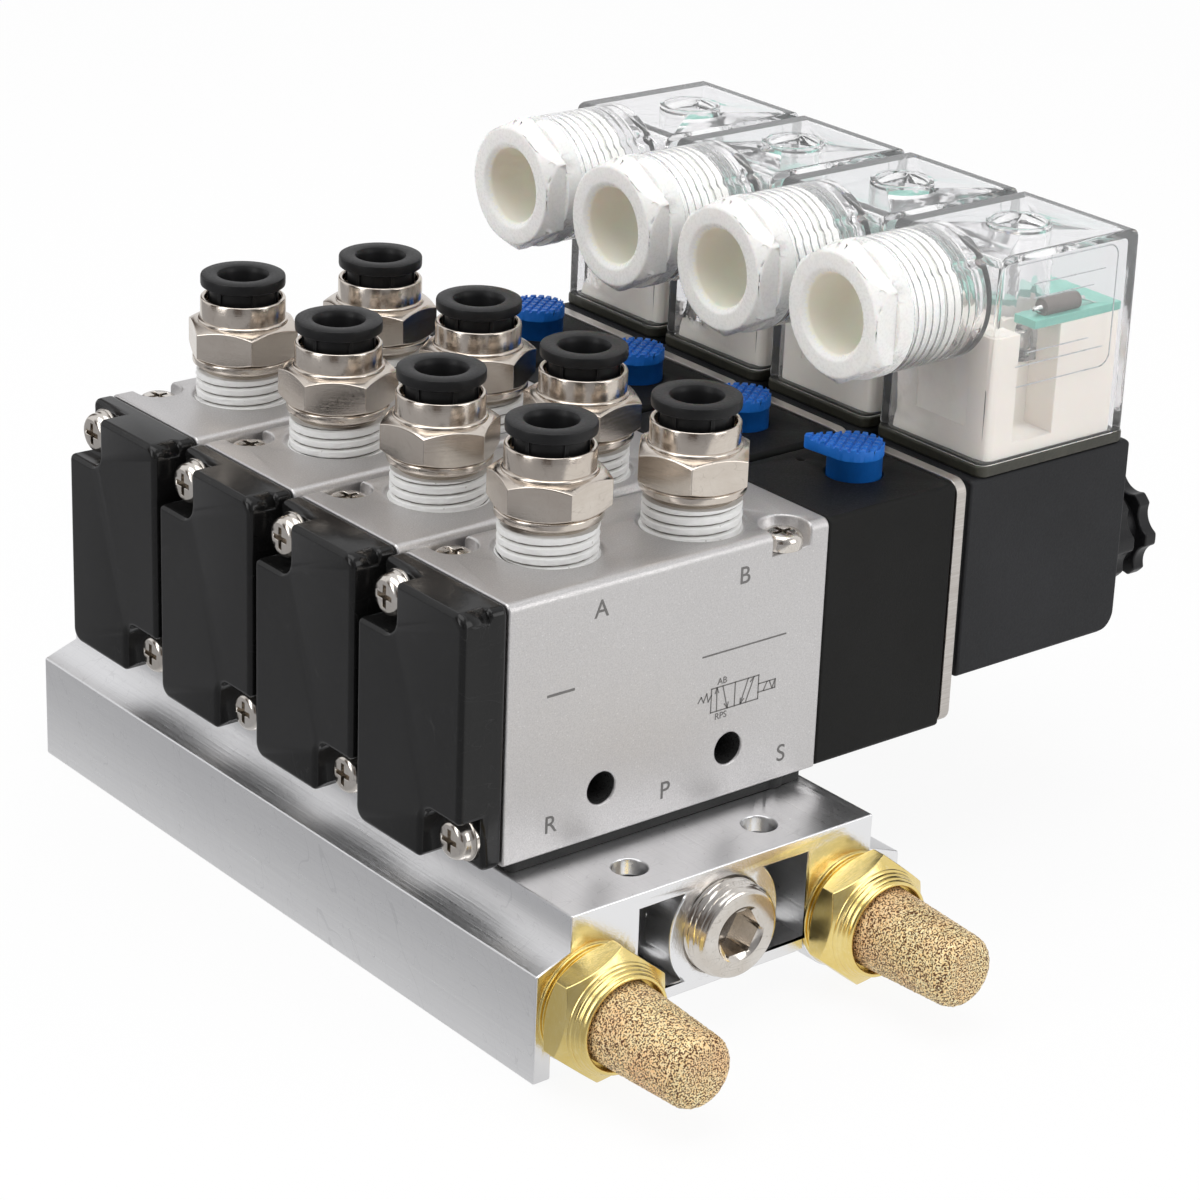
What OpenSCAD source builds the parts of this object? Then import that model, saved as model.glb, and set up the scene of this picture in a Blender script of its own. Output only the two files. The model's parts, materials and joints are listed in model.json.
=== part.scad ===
// Row of four solenoid valves on one extruded manifold, in millimetres.
// X runs along each valve from its end cap to its solenoid, Y runs along the
// row away from the silencers, and Z is up from the feet of the manifold.
// The part stands on z = 0 with its outer box centred on the Z axis.

/* [Row] */
// Gap between neighbouring valves
station_gap = 1; // [0.5:0.1:8]
// From the centre of an outer valve to the end of the manifold
end_reach = 23.8; // [20:0.1:40]

/* [Manifold] */
// Height of the valve seats above the feet
manifold_h = 22; // [20:0.1:30]
// Width of the flat deck that the valves sit on
deck_w = 50; // [46:0.1:58]
// Height of the step from the deck to the sloping ledges
deck_step = 5; // [3:0.1:7]
// Width over the two feet
base_w = 60.4; // [58:0.1:70]
// Drop of each ledge from the step to the outer wall
ledge_fall = 1.9; // [0.5:0.1:3]
// Thickness of a foot
foot_t = 2.7; // [2:0.1:4]
// Height of the underside between the feet
arch_h = 5.4; // [3:0.1:6.2]
// Height of the supply bore
supply_z = 13.4; // [12.5:0.1:14]
// Distance of each exhaust bore from the outer side of its foot
exhaust_edge = 8.4; // [8:0.1:9.5]
// Height of the exhaust bores
exhaust_z = 9.2; // [8.8:0.1:9.6]
// Radius of the three long bores
gallery_r = 5.6; // [4:0.1:5.8]
// Radius of a threaded port at its crests
port_r = 6.6; // [6.5:0.05:6.7]
// Depth of the threaded ports in the ends
port_depth = 11; // [9:0.5:14]
// Radius of the round boss about the supply bore
boss_r = 9; // [8.4:0.1:9.4]
// Radius of the lobes about the exhaust bores
lobe_r = 8.3; // [8:0.1:8.5]
// Wall between a hollow and the ports or passages beside it
hollow_wall = 1.2; // [1:0.1:2.2]
// Wall over the hollows
hollow_roof = 2.4; // [2:0.1:4]
// Wall under the hollows
hollow_floor = 1.9; // [1.5:0.1:3]
// Distance of the mounting holes from the middle
mount_x = 10.8; // [10.6:0.1:11.5]
// Distance of the mounting holes from the end of the manifold
mount_edge = 6.3; // [5:0.1:8]
// Radius of the mounting holes
mount_r = 2.35; // [2:0.05:2.5]

/* [Valve body] */
// Length of a valve body
body_l = 52; // [50:0.1:60]
// Width of a valve body
body_w = 22; // [21.5:0.1:22.4]
// Height of a valve body
body_h = 35.4; // [34:0.1:40]
// Rounding of the long upper edges
body_round = 1.2; // [0.5:0.1:2]
// Distance of each tube port from the middle of the body
port_x = 10.5; // [10:0.1:11]
// Sideways stagger of the tube ports
port_stagger = 1.5; // [0:0.1:1.8]
// Depth of the tube ports
tube_port_depth = 10; // [9:0.1:10.5]
// Radius of the spool bore
spool_bore_r = 5.5; // [5:0.1:5.8]
// Height of the spool bore above the valve's foot
spool_z = 17.4; // [17:0.1:18]
// Radius of the passages that join the spool bore to the ports
passage_r = 2.6; // [2:0.1:2.8]
// Distance of the outer passages from the ends of the body
passage_edge = 7; // [6.5:0.1:7.2]
// Distance of the body screws from the ends of the body
seat_screw_end = 6.3; // [6:0.1:6.5]
// Distance of the body screws from the sides of the body
seat_screw_side = 2.1; // [1.8:0.1:2.3]
// Radius of the open pockets of the body screws
pocket_r = 3.2; // [3.1:0.1:3.4]
// Depth of the open pockets
pocket_depth = 3; // [2.4:0.1:4]
// Radius of the cross holes through the body
cross_r = 2.2; // [1.5:0.1:2.4]
// Height of the cross holes above the valve's foot
cross_z = 6.8; // [6:0.1:7.5]
// Thickness of the gasket under each valve
gasket_t = 1.5; // [1:0.1:2]

/* [End cap and pilot] */
// Thickness of the end cap's flange
flange_t = 3; // [2:0.1:4]
// Reach of the end cap beyond its flange
cap_reach = 4; // [3.2:0.1:7]
// Width of the two screw notches of the end cap
notch_w = 8; // [7:0.1:9]
// Height of the two screw notches
notch_h = 7.4; // [7:0.1:9]
// Distance of the end screws from the body's edges
end_screw_edge = 3.8; // [3.6:0.1:4.2]
// Length of the pilot block
pilot_l = 22.7; // [20:0.1:28]
// Thickness of the steel yoke plate
yoke_t = 1.7; // [1.2:0.1:2.5]
// Distance of the override button from the body's end of the pilot block
button_x = 14.1; // [9:0.1:15]

/* [Solenoid] */
// Length of the coil moulding
coil_l = 30.5; // [28:0.1:36]
// Inset of the coil's sides from the sides of the body
coil_inset = 0.5; // [0.2:0.1:1]
// Height of the coil moulding
coil_h = 28.6; // [28:0.1:32]
// Height of the coil's underside above the valve's foot
coil_lift = 6.2; // [4:0.1:7]
// Gap between the yoke plate and the full coil section
coil_step = 1.5; // [1:0.1:3]
// Height of the armature tube above the valve's foot
armature_z = 16.8; // [16:0.1:19]
// Radius of the armature tube
armature_tube_r = 4.6; // [4.4:0.1:5]
// Radius of the coil nut over its ridges
coil_nut_r = 7.9; // [7:0.1:9]
// Length of the coil nut
coil_nut_l = 10.4; // [9:0.1:13]

/* [Connector] */
// Length of the connector cover at its foot
cover_l = 27.4; // [26:0.1:28]
// Height of the connector cover
cover_h = 29.1; // [28:0.1:34]
// Wall thickness of the clear cover
cover_t = 1.4; // [1:0.1:1.8]
// Slope of the cover's ends, taken off over its height
cover_draft = 0.8; // [0:0.1:1.2]
// Thickness of the seal under the connector
conn_seal_t = 1.7; // [1:0.1:2.5]
// Height of the cable tube above the coil
cable_z = 23.7; // [23:0.1:24.5]
// Radius of the cable tube
cable_tube_r = 9.2; // [9:0.1:9.8]
// Length of the cable tube
cable_tube_l = 13.2; // [12:0.1:16]
// Radius of the hole in the gland nut
cable_r = 5.35; // [4:0.05:5.6]
// Height of the ivory base
base_h = 17.4; // [15:0.1:18]
// Height of the circuit board above the foot of the cover
board_z = 18.8; // [18:0.1:19.6]

/* [Fittings] */
// Outside diameter of the tube that the fittings take
tube_d = 6; // [5.8:0.05:6.2]
// Width across flats of the fitting's hexagon
fitting_af = 14; // [13.6:0.1:14.4]
// Height of thread left showing under the fitting
thread_show = 3.7; // [2:0.1:5]
// Travel of a release ring
ring_travel = 1.2; // [0.6:0.1:1.3]
// Radius of the release ring's flange
ring_r = 5.85; // [5.4:0.05:6]

/* [Silencers] */
// Width across flats of the silencer's hexagon
silencer_af = 16; // [15:0.1:16]
// Reach of the brass body from the manifold
silencer_body_l = 7.6; // [7:0.1:9]
// Reach of the bronze element from the manifold
silencer_l = 22.3; // [18:0.1:30]

/* [Hidden] */
$fn = 72;
stations = 4;
pitch = body_w + station_gap;
coil_w = body_w - 2 * coil_inset;
fit = 0.05;
loose = 0.15;
m3_r = 1.45;
m3_tap_r = 1.5;
m3_clear_r = 1.65;
head_r = 2.75;
head_h = 2.1;
manifold_l = (stations - 1) * pitch + 2 * end_reach;
seat_z = manifold_h + gasket_t;
body_top = seat_z + body_h;
spool_level = seat_z + spool_z;
mid_level = seat_z + body_h / 2;
body_x = body_l / 2;
exhaust_x = base_w / 2 - exhaust_edge;
passage_x = body_x - passage_edge;
seat_screw_x = body_x - seat_screw_end;
seat_screw_y = body_w / 2 - seat_screw_side;
end_screw_y = body_w / 2 - end_screw_edge;
end_screw_z = body_h / 2 - end_screw_edge;
hollow_x = min(exhaust_x - port_r, passage_x - passage_r) - hollow_wall;
hollow_z = arch_h + hollow_floor;
hollow_h = manifold_h - hollow_roof - hollow_z;
mount_y = manifold_l / 2 - mount_edge;
cap_x = -body_x - flange_t;
cap_end = cap_x - cap_reach;
yoke_x = body_x + pilot_l;
coil_x = yoke_x + yoke_t;
coil_face = coil_x + coil_step;
coil_end = coil_face + coil_l;
coil_top = seat_z + coil_lift + coil_h;
armature_level = seat_z + armature_z;
nut_end = coil_end + coil_nut_l;
cover_x = coil_end - 1.4 - cover_l;
cover_z = coil_top + conn_seal_t;
cover_top = cover_z + cover_h;
conn_screw_shift = 0.3;
conn_screw_x = cover_x + cover_l / 2 + conn_screw_shift;
conn_screw_seat = cover_z + 12.5;
well_r = 3.7;
boss_outer_r = well_r + 0.8;
cable_level = coil_top + cable_z;
tube_x = cover_x - cable_tube_l;
end_tap_depth = 3.2;
screw_down = 5.5;
spool_travel = 3;
spool_clear = 0.3;
spool_hollow = 7;
seal_l = 1.2;
seal_edge = 0.5;
spool_r = spool_bore_r - fit;
spool_l = body_l - spool_travel - spool_clear;
spool_x = body_x - spool_l;
spring_pocket_r = 4.2;
spring_pocket_depth = flange_t + cap_reach - 1.6;
button_r = 3.75;
button_travel = 1.5;
button_rise = 2.7;
button_head_t = 1.8;
button_turn = 125;
button_level = body_top + button_rise;
armature_r = 3.5;
armature_l = 16;
armature_travel = 0.8;
armature_seat = yoke_x - 1.2;
plug_show = 3.4;
plug_thread = port_r - fit;
gland_hex_af = 17.2;
gland_thread_r = cable_tube_r - 1.6;
gland_hex_l = 3.4;
gland_ring_l = 2.8;
gland_shank_l = 7;
gland_seal_l = 2.5;
tube_bore_r = tube_d / 2 + 0.08;
sleeve_r = 4.6;
hex_z = thread_show + 2.1;
hex_h = 4.9;
collar_h = 3.4;
fitting_top = hex_z + hex_h + collar_h;
ring_gap = 1.45;
ring_t = 1.7;
thread_pitch = 1.337;
silencer_turn = 20;
mid_x = (cap_end + nut_end) / 2;
mid_y = (plug_show - silencer_l) / 2;

// Turn of each fitting's hexagon, ports A then ports B, near valve first
fitting_turn = [12, 38, 22, 5, 48, 8, 30, 18];

// Places and shared shapes

function station_y(n) = (n - (stations + 1) / 2) * pitch;

// Ports A stand towards the back of the row and ports B towards the front
function port_side(port) = port == "a" ? -1 : 1;

// The manifold's middle, seen from the centre of the outer box
module at_manifold() {
  translate([-mid_x, -mid_y, 0])
    children();
}

module at_station(n) {
  at_manifold()
    translate([0, station_y(n), 0])
      children();
}

module every_station() {
  for (n = [1:stations])
    at_station(n)
      children();
}

module at_port(port) {
  translate([port_side(port) * port_x, -port_side(port) * port_stagger, body_top])
    children();
}

// Two opposite corners of the body, seen from above
module at_seat_screws() {
  for (s = [-1, 1])
    translate([s * seat_screw_x, -s * seat_screw_y, 0])
      children();
}

// Two opposite corners of the body, seen from its end
module at_end_screws() {
  for (s = [-1, 1])
    translate([0, s * end_screw_y, mid_level + s * end_screw_z])
      children();
}

module along_x() {
  rotate([0, 90, 0])
    children();
}

module rounded_square(w, h, r) {
  union() {
    square([w - 2 * r, h], center = true);
    square([w, h - 2 * r], center = true);
    for (x = [-1, 1], y = [-1, 1])
      translate([x * (w / 2 - r), y * (h / 2 - r)])
        circle(r = r);
  }
}

// Section across the valve, standing in the YZ plane and pushed out along X
module push_x(x, l) {
  translate([x, 0, 0])
    rotate([90, 0, 90])
      linear_extrude(l)
        children();
}

module ring_thread(r, l, pitch, depth) {
  turns = floor(l / pitch);
  rotate_extrude()
    polygon(concat(
      [[0, 0]],
      [for (i = [0:turns - 1], k = [0, 0.5]) [k == 0 ? r - depth : r, (i + k) * pitch]],
      [[r - depth, turns * pitch], [r - depth, l], [0, l]]));
}

module hexagon_bar(af, h) {
  cylinder(r = af / 2 / cos(30), h = h, $fn = 6);
}

// Hexagon with turned chamfers at both ends
module chamfered_hexagon(af, h, c) {
  corner = af / 2 / cos(30);
  intersection() {
    hexagon_bar(af, h);
    rotate_extrude()
      polygon([[0, 0], [corner - c, 0], [corner, c * 0.6], [corner, h - c * 0.6], [corner - c, h], [0, h]]);
  }
}

module cross_recess(r, depth) {
  for (turn = [0, 90])
    rotate([0, 0, turn])
      translate([-r, -0.35, -depth])
        cube([2 * r, 0.7, depth + 1]);
}

// Pan head screw that points down, with the underside of its head at z = 0
module pan_screw(l) {
  difference() {
    union() {
      rotate_extrude()
        polygon(concat(
          [[0, 0], [head_r, 0], [head_r, head_h * 0.45]],
          [for (a = [15:15:75]) [head_r - 1 + cos(a), head_h * 0.45 + (head_h * 0.55) * sin(a)]],
          [[0, head_h]]));
      translate([0, 0, -l])
        cylinder(r = m3_r, h = l + 0.1);
    }
    translate([0, 0, head_h])
      cross_recess(1.5, 1.2);
  }
}

// Manifold

module manifold_outline() {
  shoulder = manifold_h - deck_step;
  union() {
    polygon([
      [-base_w / 2, 0], [-base_w / 2 + foot_t, 0], [-base_w / 2 + foot_t, exhaust_z],
      [-hollow_x, exhaust_z], [-hollow_x, arch_h], [hollow_x, arch_h], [hollow_x, exhaust_z],
      [base_w / 2 - foot_t, exhaust_z], [base_w / 2 - foot_t, 0], [base_w / 2, 0],
      [base_w / 2, shoulder - ledge_fall], [deck_w / 2, shoulder],
      [deck_w / 2, manifold_h], [-deck_w / 2, manifold_h],
      [-deck_w / 2, shoulder], [-base_w / 2, shoulder - ledge_fall]]);
    for (s = [-1, 1])
      translate([s * exhaust_x, exhaust_z])
        circle(r = lobe_r);
  }
}

module hollow_outline(s) {
  difference() {
    translate([s > 0 ? 0 : -hollow_x, hollow_z])
      square([hollow_x, hollow_h]);
    translate([0, supply_z])
      circle(r = boss_r);
    translate([-boss_r * 0.7, 0])
      square([boss_r * 1.4, manifold_h]);
  }
}

module port_bore(x, z) {
  translate([x, manifold_l / 2 + 1, z])
    rotate([90, 0, 0])
      cylinder(r = gallery_r, h = manifold_l + 2);
  for (s = [-1, 1])
    translate([x, s * (manifold_l / 2 - port_depth), z])
      rotate([-90 * s, 0, 0])
        cylinder(r = port_r, h = port_depth + 1);
}

// The three passages and two tapped holes under one valve
module seat_holes() {
  translate([0, 0, supply_z])
    cylinder(r = passage_r, h = manifold_h);
  for (s = [-1, 1])
    translate([s * passage_x, 0, exhaust_z])
      cylinder(r = passage_r, h = manifold_h);
  at_seat_screws()
    translate([0, 0, manifold_h - screw_down - 0.5])
      cylinder(r = m3_tap_r, h = manifold_h);
}

module manifold() {
  color("silver")
    at_manifold()
      difference() {
        translate([0, manifold_l / 2, 0])
          rotate([90, 0, 0])
            linear_extrude(manifold_l)
              difference() {
                manifold_outline();
                hollow_outline(-1);
                hollow_outline(1);
              }
        port_bore(0, supply_z);
        for (s = [-1, 1])
          port_bore(s * exhaust_x, exhaust_z);
        for (n = [1:stations])
          translate([0, station_y(n), 0])
            seat_holes();
        for (x = [-1, 1], y = [-1, 1])
          translate([x * mount_x, y * mount_y, -1])
            cylinder(r = mount_r, h = manifold_h + 2);
      }
}

// Plug that points along -Z, with the end of its port at z = 0
module port_plug() {
  length = plug_show + port_depth - 3;
  difference() {
    translate([0, 0, plug_show - length])
      intersection() {
        ring_thread(plug_thread, length, thread_pitch, 0.75);
        rotate_extrude()
          polygon([[0, 0], [plug_thread, 0], [plug_thread, length - 0.8], [plug_thread - 0.9, length], [0, length]]);
      }
    translate([0, 0, plug_show - 5])
      hexagon_bar(6, 6);
    translate([0, 0, plug_show - 0.5])
      cylinder(r1 = 3.3, r2 = 4, h = 0.6);
  }
}

module port_plugs() {
  color("lightsteelblue")
    at_manifold() {
      translate([0, -manifold_l / 2, supply_z])
        rotate([90, 0, 0])
          port_plug();
      for (s = [-1, 1])
        translate([s * exhaust_x, manifold_l / 2, exhaust_z])
          rotate([-90, 0, 0])
            port_plug();
    }
}

// Silencers, which point along +Z here with the end of the port at z = 0

module silencer_body() {
  hex_l = silencer_body_l * 0.68;
  lip_r = silencer_af / 2 - 1.6;
  difference() {
    union() {
      translate([0, 0, 0.8])
        rotate([0, 0, silencer_turn])
          chamfered_hexagon(silencer_af, hex_l - 0.8, 1.2);
      cylinder(r = silencer_af / 2, h = 0.9);
      translate([0, 0, 2 - port_depth])
        ring_thread(plug_thread, port_depth - 1.9, thread_pitch, 0.75);
      translate([0, 0, hex_l - 0.05])
        cylinder(r1 = silencer_af / 2 - 0.1, r2 = lip_r, h = silencer_body_l - hex_l + 0.05);
    }
    translate([0, 0, 1 - port_depth])
      cylinder(r = 4, h = port_depth + silencer_body_l);
    translate([0, 0, hex_l])
      cylinder(r = lip_r - 0.7, h = silencer_body_l);
  }
}

module silencer_element() {
  foot = silencer_body_l * 0.68;
  root_r = silencer_af / 2 - 2.35;
  tip_r = root_r - 0.8;
  round_r = 1.8;
  wall = 2;
  difference() {
    rotate_extrude()
      polygon(concat(
        [[0, foot], [root_r, foot], [root_r, silencer_body_l]],
        [for (a = [0:15:90]) [tip_r - round_r + round_r * cos(a), silencer_l - round_r + round_r * sin(a)]],
        [[0, silencer_l]]));
    translate([0, 0, foot - 1])
      cylinder(r = tip_r - wall, h = silencer_l - wall - foot + 1);
  }
}

module at_silencers() {
  at_manifold()
    for (s = [-1, 1])
      translate([s * exhaust_x, -manifold_l / 2, exhaust_z])
        rotate([90, 0, 0])
          children();
}

module silencer_bodies() {
  color("goldenrod")
    at_silencers()
      silencer_body();
}

module silencer_elements() {
  color("darkkhaki")
    at_silencers()
      silencer_element();
}

// Valve

module seat_passages(h) {
  for (x = [-passage_x, 0, passage_x])
    translate([x, 0, 0])
      cylinder(r = passage_r, h = h);
}

module valve_gaskets() {
  color("dimgray")
    every_station()
      translate([0, 0, manifold_h])
        difference() {
          linear_extrude(gasket_t)
            rounded_square(body_l - 3.4, body_w - 1, 1);
          translate([0, 0, -1])
            seat_passages(gasket_t + 2);
          at_seat_screws()
            translate([0, 0, -1])
              cylinder(r = m3_clear_r, h = gasket_t + 2);
        }
}

module body_section() {
  flat = body_w - 2 * body_round;
  union() {
    translate([-body_w / 2, seat_z])
      square([body_w, body_h - body_round]);
    translate([-flat / 2, seat_z])
      square([flat, body_h]);
    for (s = [-1, 1])
      translate([s * flat / 2, body_top - body_round])
        circle(r = body_round);
  }
}

module valve_body(n) {
  groove_r = spool_bore_r + 1.1;
  color("gainsboro")
    at_station(n)
      difference() {
        push_x(-body_x, body_l)
          body_section();
        translate([-body_x - 1, 0, spool_level])
          along_x()
            cylinder(r = spool_bore_r, h = body_l + 2);
        for (x = [-passage_x, -port_x, 0, port_x, passage_x])
          translate([x - passage_r, 0, spool_level])
            along_x()
              cylinder(r = groove_r, h = 2 * passage_r);
        translate([0, 0, seat_z - 1])
          seat_passages(spool_z + 1);
        for (port = ["a", "b"])
          at_port(port) {
            translate([0, 0, -tube_port_depth])
              cylinder(r = port_r, h = tube_port_depth + 1);
            translate([0, 0, spool_level - body_top])
              cylinder(r = passage_r, h = body_h);
            translate([0, 0, -0.6])
              cylinder(r1 = port_r, r2 = port_r + 0.7, h = 0.7);
          }
        at_seat_screws() {
          translate([0, 0, seat_z - 1])
            cylinder(r = m3_clear_r, h = body_h + 2);
          translate([0, 0, body_top - pocket_depth])
            cylinder(r = pocket_r, h = pocket_depth + 1);
        }
        for (s = [-1, 1])
          translate([s * seat_screw_x - pocket_r, s > 0 ? -body_w / 2 - 1 : seat_screw_y, body_top - pocket_depth])
            cube([2 * pocket_r, body_w / 2 + 1 - seat_screw_y, pocket_depth + 1]);
        for (s = [-1, 1])
          translate([s * port_x, body_w / 2 + 1, seat_z + cross_z])
            rotate([90, 0, 0])
              cylinder(r = cross_r, h = body_w + 2);
        at_end_screws() {
          translate([-body_x - 1, 0, 0])
            along_x()
              cylinder(r = m3_tap_r, h = end_tap_depth + 1);
          translate([body_x - end_tap_depth, 0, 0])
            along_x()
              cylinder(r = m3_tap_r, h = end_tap_depth + 1);
        }
      }
}

module body_screws() {
  color("lightgray")
    every_station()
      at_seat_screws()
        translate([0, 0, body_top - pocket_depth])
          pan_screw(gasket_t + body_h - pocket_depth + screw_down);
}

// End cap, with a notch for each screw at two opposite corners

module cap_outline() {
  corner = 2;
  inner = 2.4;
  difference() {
    translate([0, mid_level])
      rounded_square(body_w, body_h, corner);
    for (s = [-1, 1])
      translate([s * body_w / 2, mid_level + s * body_h / 2]) {
        square([2 * (notch_w - inner), 2 * notch_h], center = true);
        square([2 * notch_w, 2 * (notch_h - inner)], center = true);
        translate([-s * (notch_w - inner), -s * (notch_h - inner)])
          circle(r = inner);
      }
  }
}

module end_caps() {
  color([0.06, 0.06, 0.07])
    every_station()
      difference() {
        union() {
          push_x(cap_x, flange_t)
            translate([0, mid_level])
              rounded_square(body_w, body_h, 1.2);
          push_x(cap_end, cap_reach + 0.1)
            cap_outline();
        }
        translate([-body_x - spring_pocket_depth, 0, spool_level])
          along_x()
            cylinder(r = spring_pocket_r, h = spring_pocket_depth + 1);
        at_end_screws()
          translate([cap_x - 1, 0, 0])
            along_x()
              cylinder(r = m3_clear_r, h = flange_t + 2);
      }
}

module cap_screws() {
  washer_t = 0.5;
  color("lightgray")
    every_station()
      at_end_screws()
        translate([cap_x, 0, 0])
          rotate([0, -90, 0]) {
            cylinder(r = head_r + 0.4, h = washer_t);
            translate([0, 0, washer_t - 0.01])
              pan_screw(washer_t + flange_t + end_tap_depth - 0.4);
          }
}

// Spool with bonded seal lands, and the return spring in its hollow end

module spool(n) {
  waist = spool_r - 2.2;
  outer = port_x + passage_r;
  inner = port_x - passage_r;
  color("lightslategray")
    at_station(n)
      translate([spool_x, 0, spool_level])
        along_x()
          difference() {
            union() {
              cylinder(r = waist, h = spool_l);
              for (x = [spool_x, seal_edge - outer, seal_edge - inner, inner + seal_edge, outer + seal_edge, body_x - seal_l])
                translate([0, 0, x - spool_x])
                  cylinder(r = spool_r, h = seal_l);
            }
            translate([0, 0, -1])
              cylinder(r = 2.4, h = spool_hollow + 1);
          }
}

// Round wire wound about the Z axis, with its ends cut square
module wound_wire(coil_r, wire, length, turns) {
  sides = 6;
  steps = 12 * turns;
  rise = length - wire;
  ring = [for (i = [0:steps], k = [0:sides - 1])
    let (turn = 360 * turns * i / steps, a = 360 * k / sides, r = coil_r + wire / 2 * cos(a))
    [r * cos(turn), r * sin(turn), wire / 2 + rise * i / steps + wire / 2 * sin(a)]];
  sleeve = [for (i = [0:steps - 1], k = [0:sides - 1])
    let (next = (k + 1) % sides)
    [i * sides + k, (i + 1) * sides + k, (i + 1) * sides + next, i * sides + next]];
  polyhedron(points = ring, faces = concat(
    [[for (k = [0:sides - 1]) k]],
    sleeve,
    [[for (k = [0:sides - 1]) steps * sides + sides - 1 - k]]));
}

module return_springs() {
  length = spring_pocket_depth + spool_x + body_x + spool_hollow - spool_travel - 0.3;
  color("lightsteelblue")
    every_station()
      translate([-body_x - spring_pocket_depth, 0, spool_level])
        along_x()
          wound_wire(1.6, 0.7, length, 5);
}

// Pilot block, override button and yoke plate

module at_button() {
  translate([body_x + button_x, 0, 0])
    children();
}

module pilot_blocks() {
  edge = 0.8;
  color([0.09, 0.09, 0.09])
    every_station()
      difference() {
        push_x(body_x, pilot_l)
          translate([0, mid_level])
            rounded_square(body_w, body_h, edge);
        translate([body_x - 1, 0, spool_level])
          along_x()
            cylinder(r = spool_bore_r + 0.4, h = 4);
        translate([body_x, 0, spool_level])
          along_x()
            cylinder(r = 1, h = pilot_l - 2);
        translate([yoke_x - 1.2, 0, armature_level])
          along_x()
            cylinder(r = armature_tube_r + 1.5, h = 3);
        translate([yoke_x - 6, 0, armature_level])
          along_x()
            cylinder(r = 0.9, h = 6);
        at_button() {
          translate([0, 0, body_top - button_travel - 1.6])
            cylinder(r = button_r + 0.1, h = 6);
          translate([0, 0, body_top - 12])
            cylinder(r = 1.6 + fit, h = 12);
        }
        translate([body_x + button_x - 2.6, 7.7, body_top - 2])
          cylinder(r = 0.5, h = 3);
        at_end_screws()
          translate([body_x - 1, 0, 0])
            along_x()
              cylinder(r = m3_clear_r, h = pilot_l + 2);
      }
}

// Outline of the button's head: a circle drawn out to a small round tip
module drop_outline(r, tip_r, reach) {
  lean = acos((r - tip_r) / reach);
  union() {
    circle(r = r);
    translate([reach, 0])
      circle(r = tip_r);
    polygon([
      [r * cos(lean), r * sin(lean)], [reach + tip_r * cos(lean), tip_r * sin(lean)],
      [reach + tip_r * cos(lean), -tip_r * sin(lean)], [r * cos(lean), -r * sin(lean)]]);
  }
}

module override_button(n) {
  groove = 0.35;
  color([0.05, 0.3, 0.8])
    at_station(n)
      at_button()
        rotate([0, 0, button_turn])
          difference() {
            union() {
              translate([0, 0, body_top - 1.5])
                cylinder(r = button_r, h = button_rise + 1.6);
              translate([0, 0, body_top - 9])
                cylinder(r = 1.6, h = 8);
              translate([0, 0, button_level])
                linear_extrude(button_head_t)
                  drop_outline(button_r + 0.15, 1, 6);
            }
            for (i = [0:8])
              translate([-3.6 + i * 1.15, -5, button_level + button_head_t - groove])
                cube([0.4, 10, 1]);
            for (i = [-2:2])
              translate([-5, i * 1.3 - 0.2, button_level + button_head_t - groove])
                cube([13, 0.4, 1]);
          }
}

module yoke_plates() {
  flat_w = body_w + 0.3;
  color("lightgray")
    every_station()
      difference() {
        push_x(yoke_x, yoke_t)
          translate([0, mid_level + 0.2])
            rounded_square(flat_w, body_h, 2);
        translate([yoke_x - 1, 0, armature_level])
          along_x()
            cylinder(r = armature_tube_r + fit, h = yoke_t + 2);
        at_end_screws() {
          translate([yoke_x - 1, 0, 0])
            along_x()
              cylinder(r = m3_clear_r, h = yoke_t + 2);
          translate([yoke_x + 0.1, 0, 0])
            along_x()
              cylinder(r1 = m3_clear_r, r2 = m3_clear_r + yoke_t - 0.1, h = yoke_t - 0.09);
        }
      }
}

module pilot_screws() {
  head = m3_clear_r + yoke_t - 0.3;
  color("darkgray")
    every_station()
      at_end_screws()
        translate([body_x - end_tap_depth + 0.4, 0, 0])
          along_x() {
            cylinder(r = m3_r, h = end_tap_depth - 0.4 + pilot_l + 0.3);
            translate([0, 0, end_tap_depth - 0.4 + pilot_l + 0.25])
              cylinder(r1 = m3_r, r2 = head, h = yoke_t - 0.35);
          }
}

// Solenoid

module armature_tubes() {
  bore = armature_r + fit;
  flange_r = armature_tube_r + 1.4;
  color("lightgray")
    every_station()
      translate([armature_seat, 0, armature_level])
        along_x()
          difference() {
            union() {
              cylinder(r = flange_r, h = yoke_x - armature_seat);
              cylinder(r = armature_tube_r, h = coil_end - armature_seat);
              translate([0, 0, coil_end - armature_seat - 0.1])
                cylinder(r = 3, h = coil_nut_l - 1.2);
            }
            translate([0, 0, -1])
              cylinder(r = bore, h = armature_l + armature_travel + 1.2);
          }
}

module armature(n) {
  color("slategray")
    at_station(n)
      translate([armature_seat, 0, armature_level])
        along_x()
          difference() {
            cylinder(r = armature_r, h = armature_l);
            translate([0, 0, armature_l - 8])
              cylinder(r = 1.8, h = 9);
          }
}

// Side view of the coil, with the lower outer corner rounded
module coil_side() {
  corner = 3;
  small = 0.8;
  low = seat_z + coil_lift;
  difference() {
    translate([coil_face, low])
      square([coil_l, coil_h]);
    translate([coil_end - corner, low])
      difference() {
        translate([0, -1])
          square([corner + 1, corner + 1]);
        translate([0, corner])
          circle(r = corner);
      }
    translate([coil_end - small, coil_top - small])
      difference() {
        square([small + 1, small + 1]);
        circle(r = small);
      }
  }
}

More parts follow.
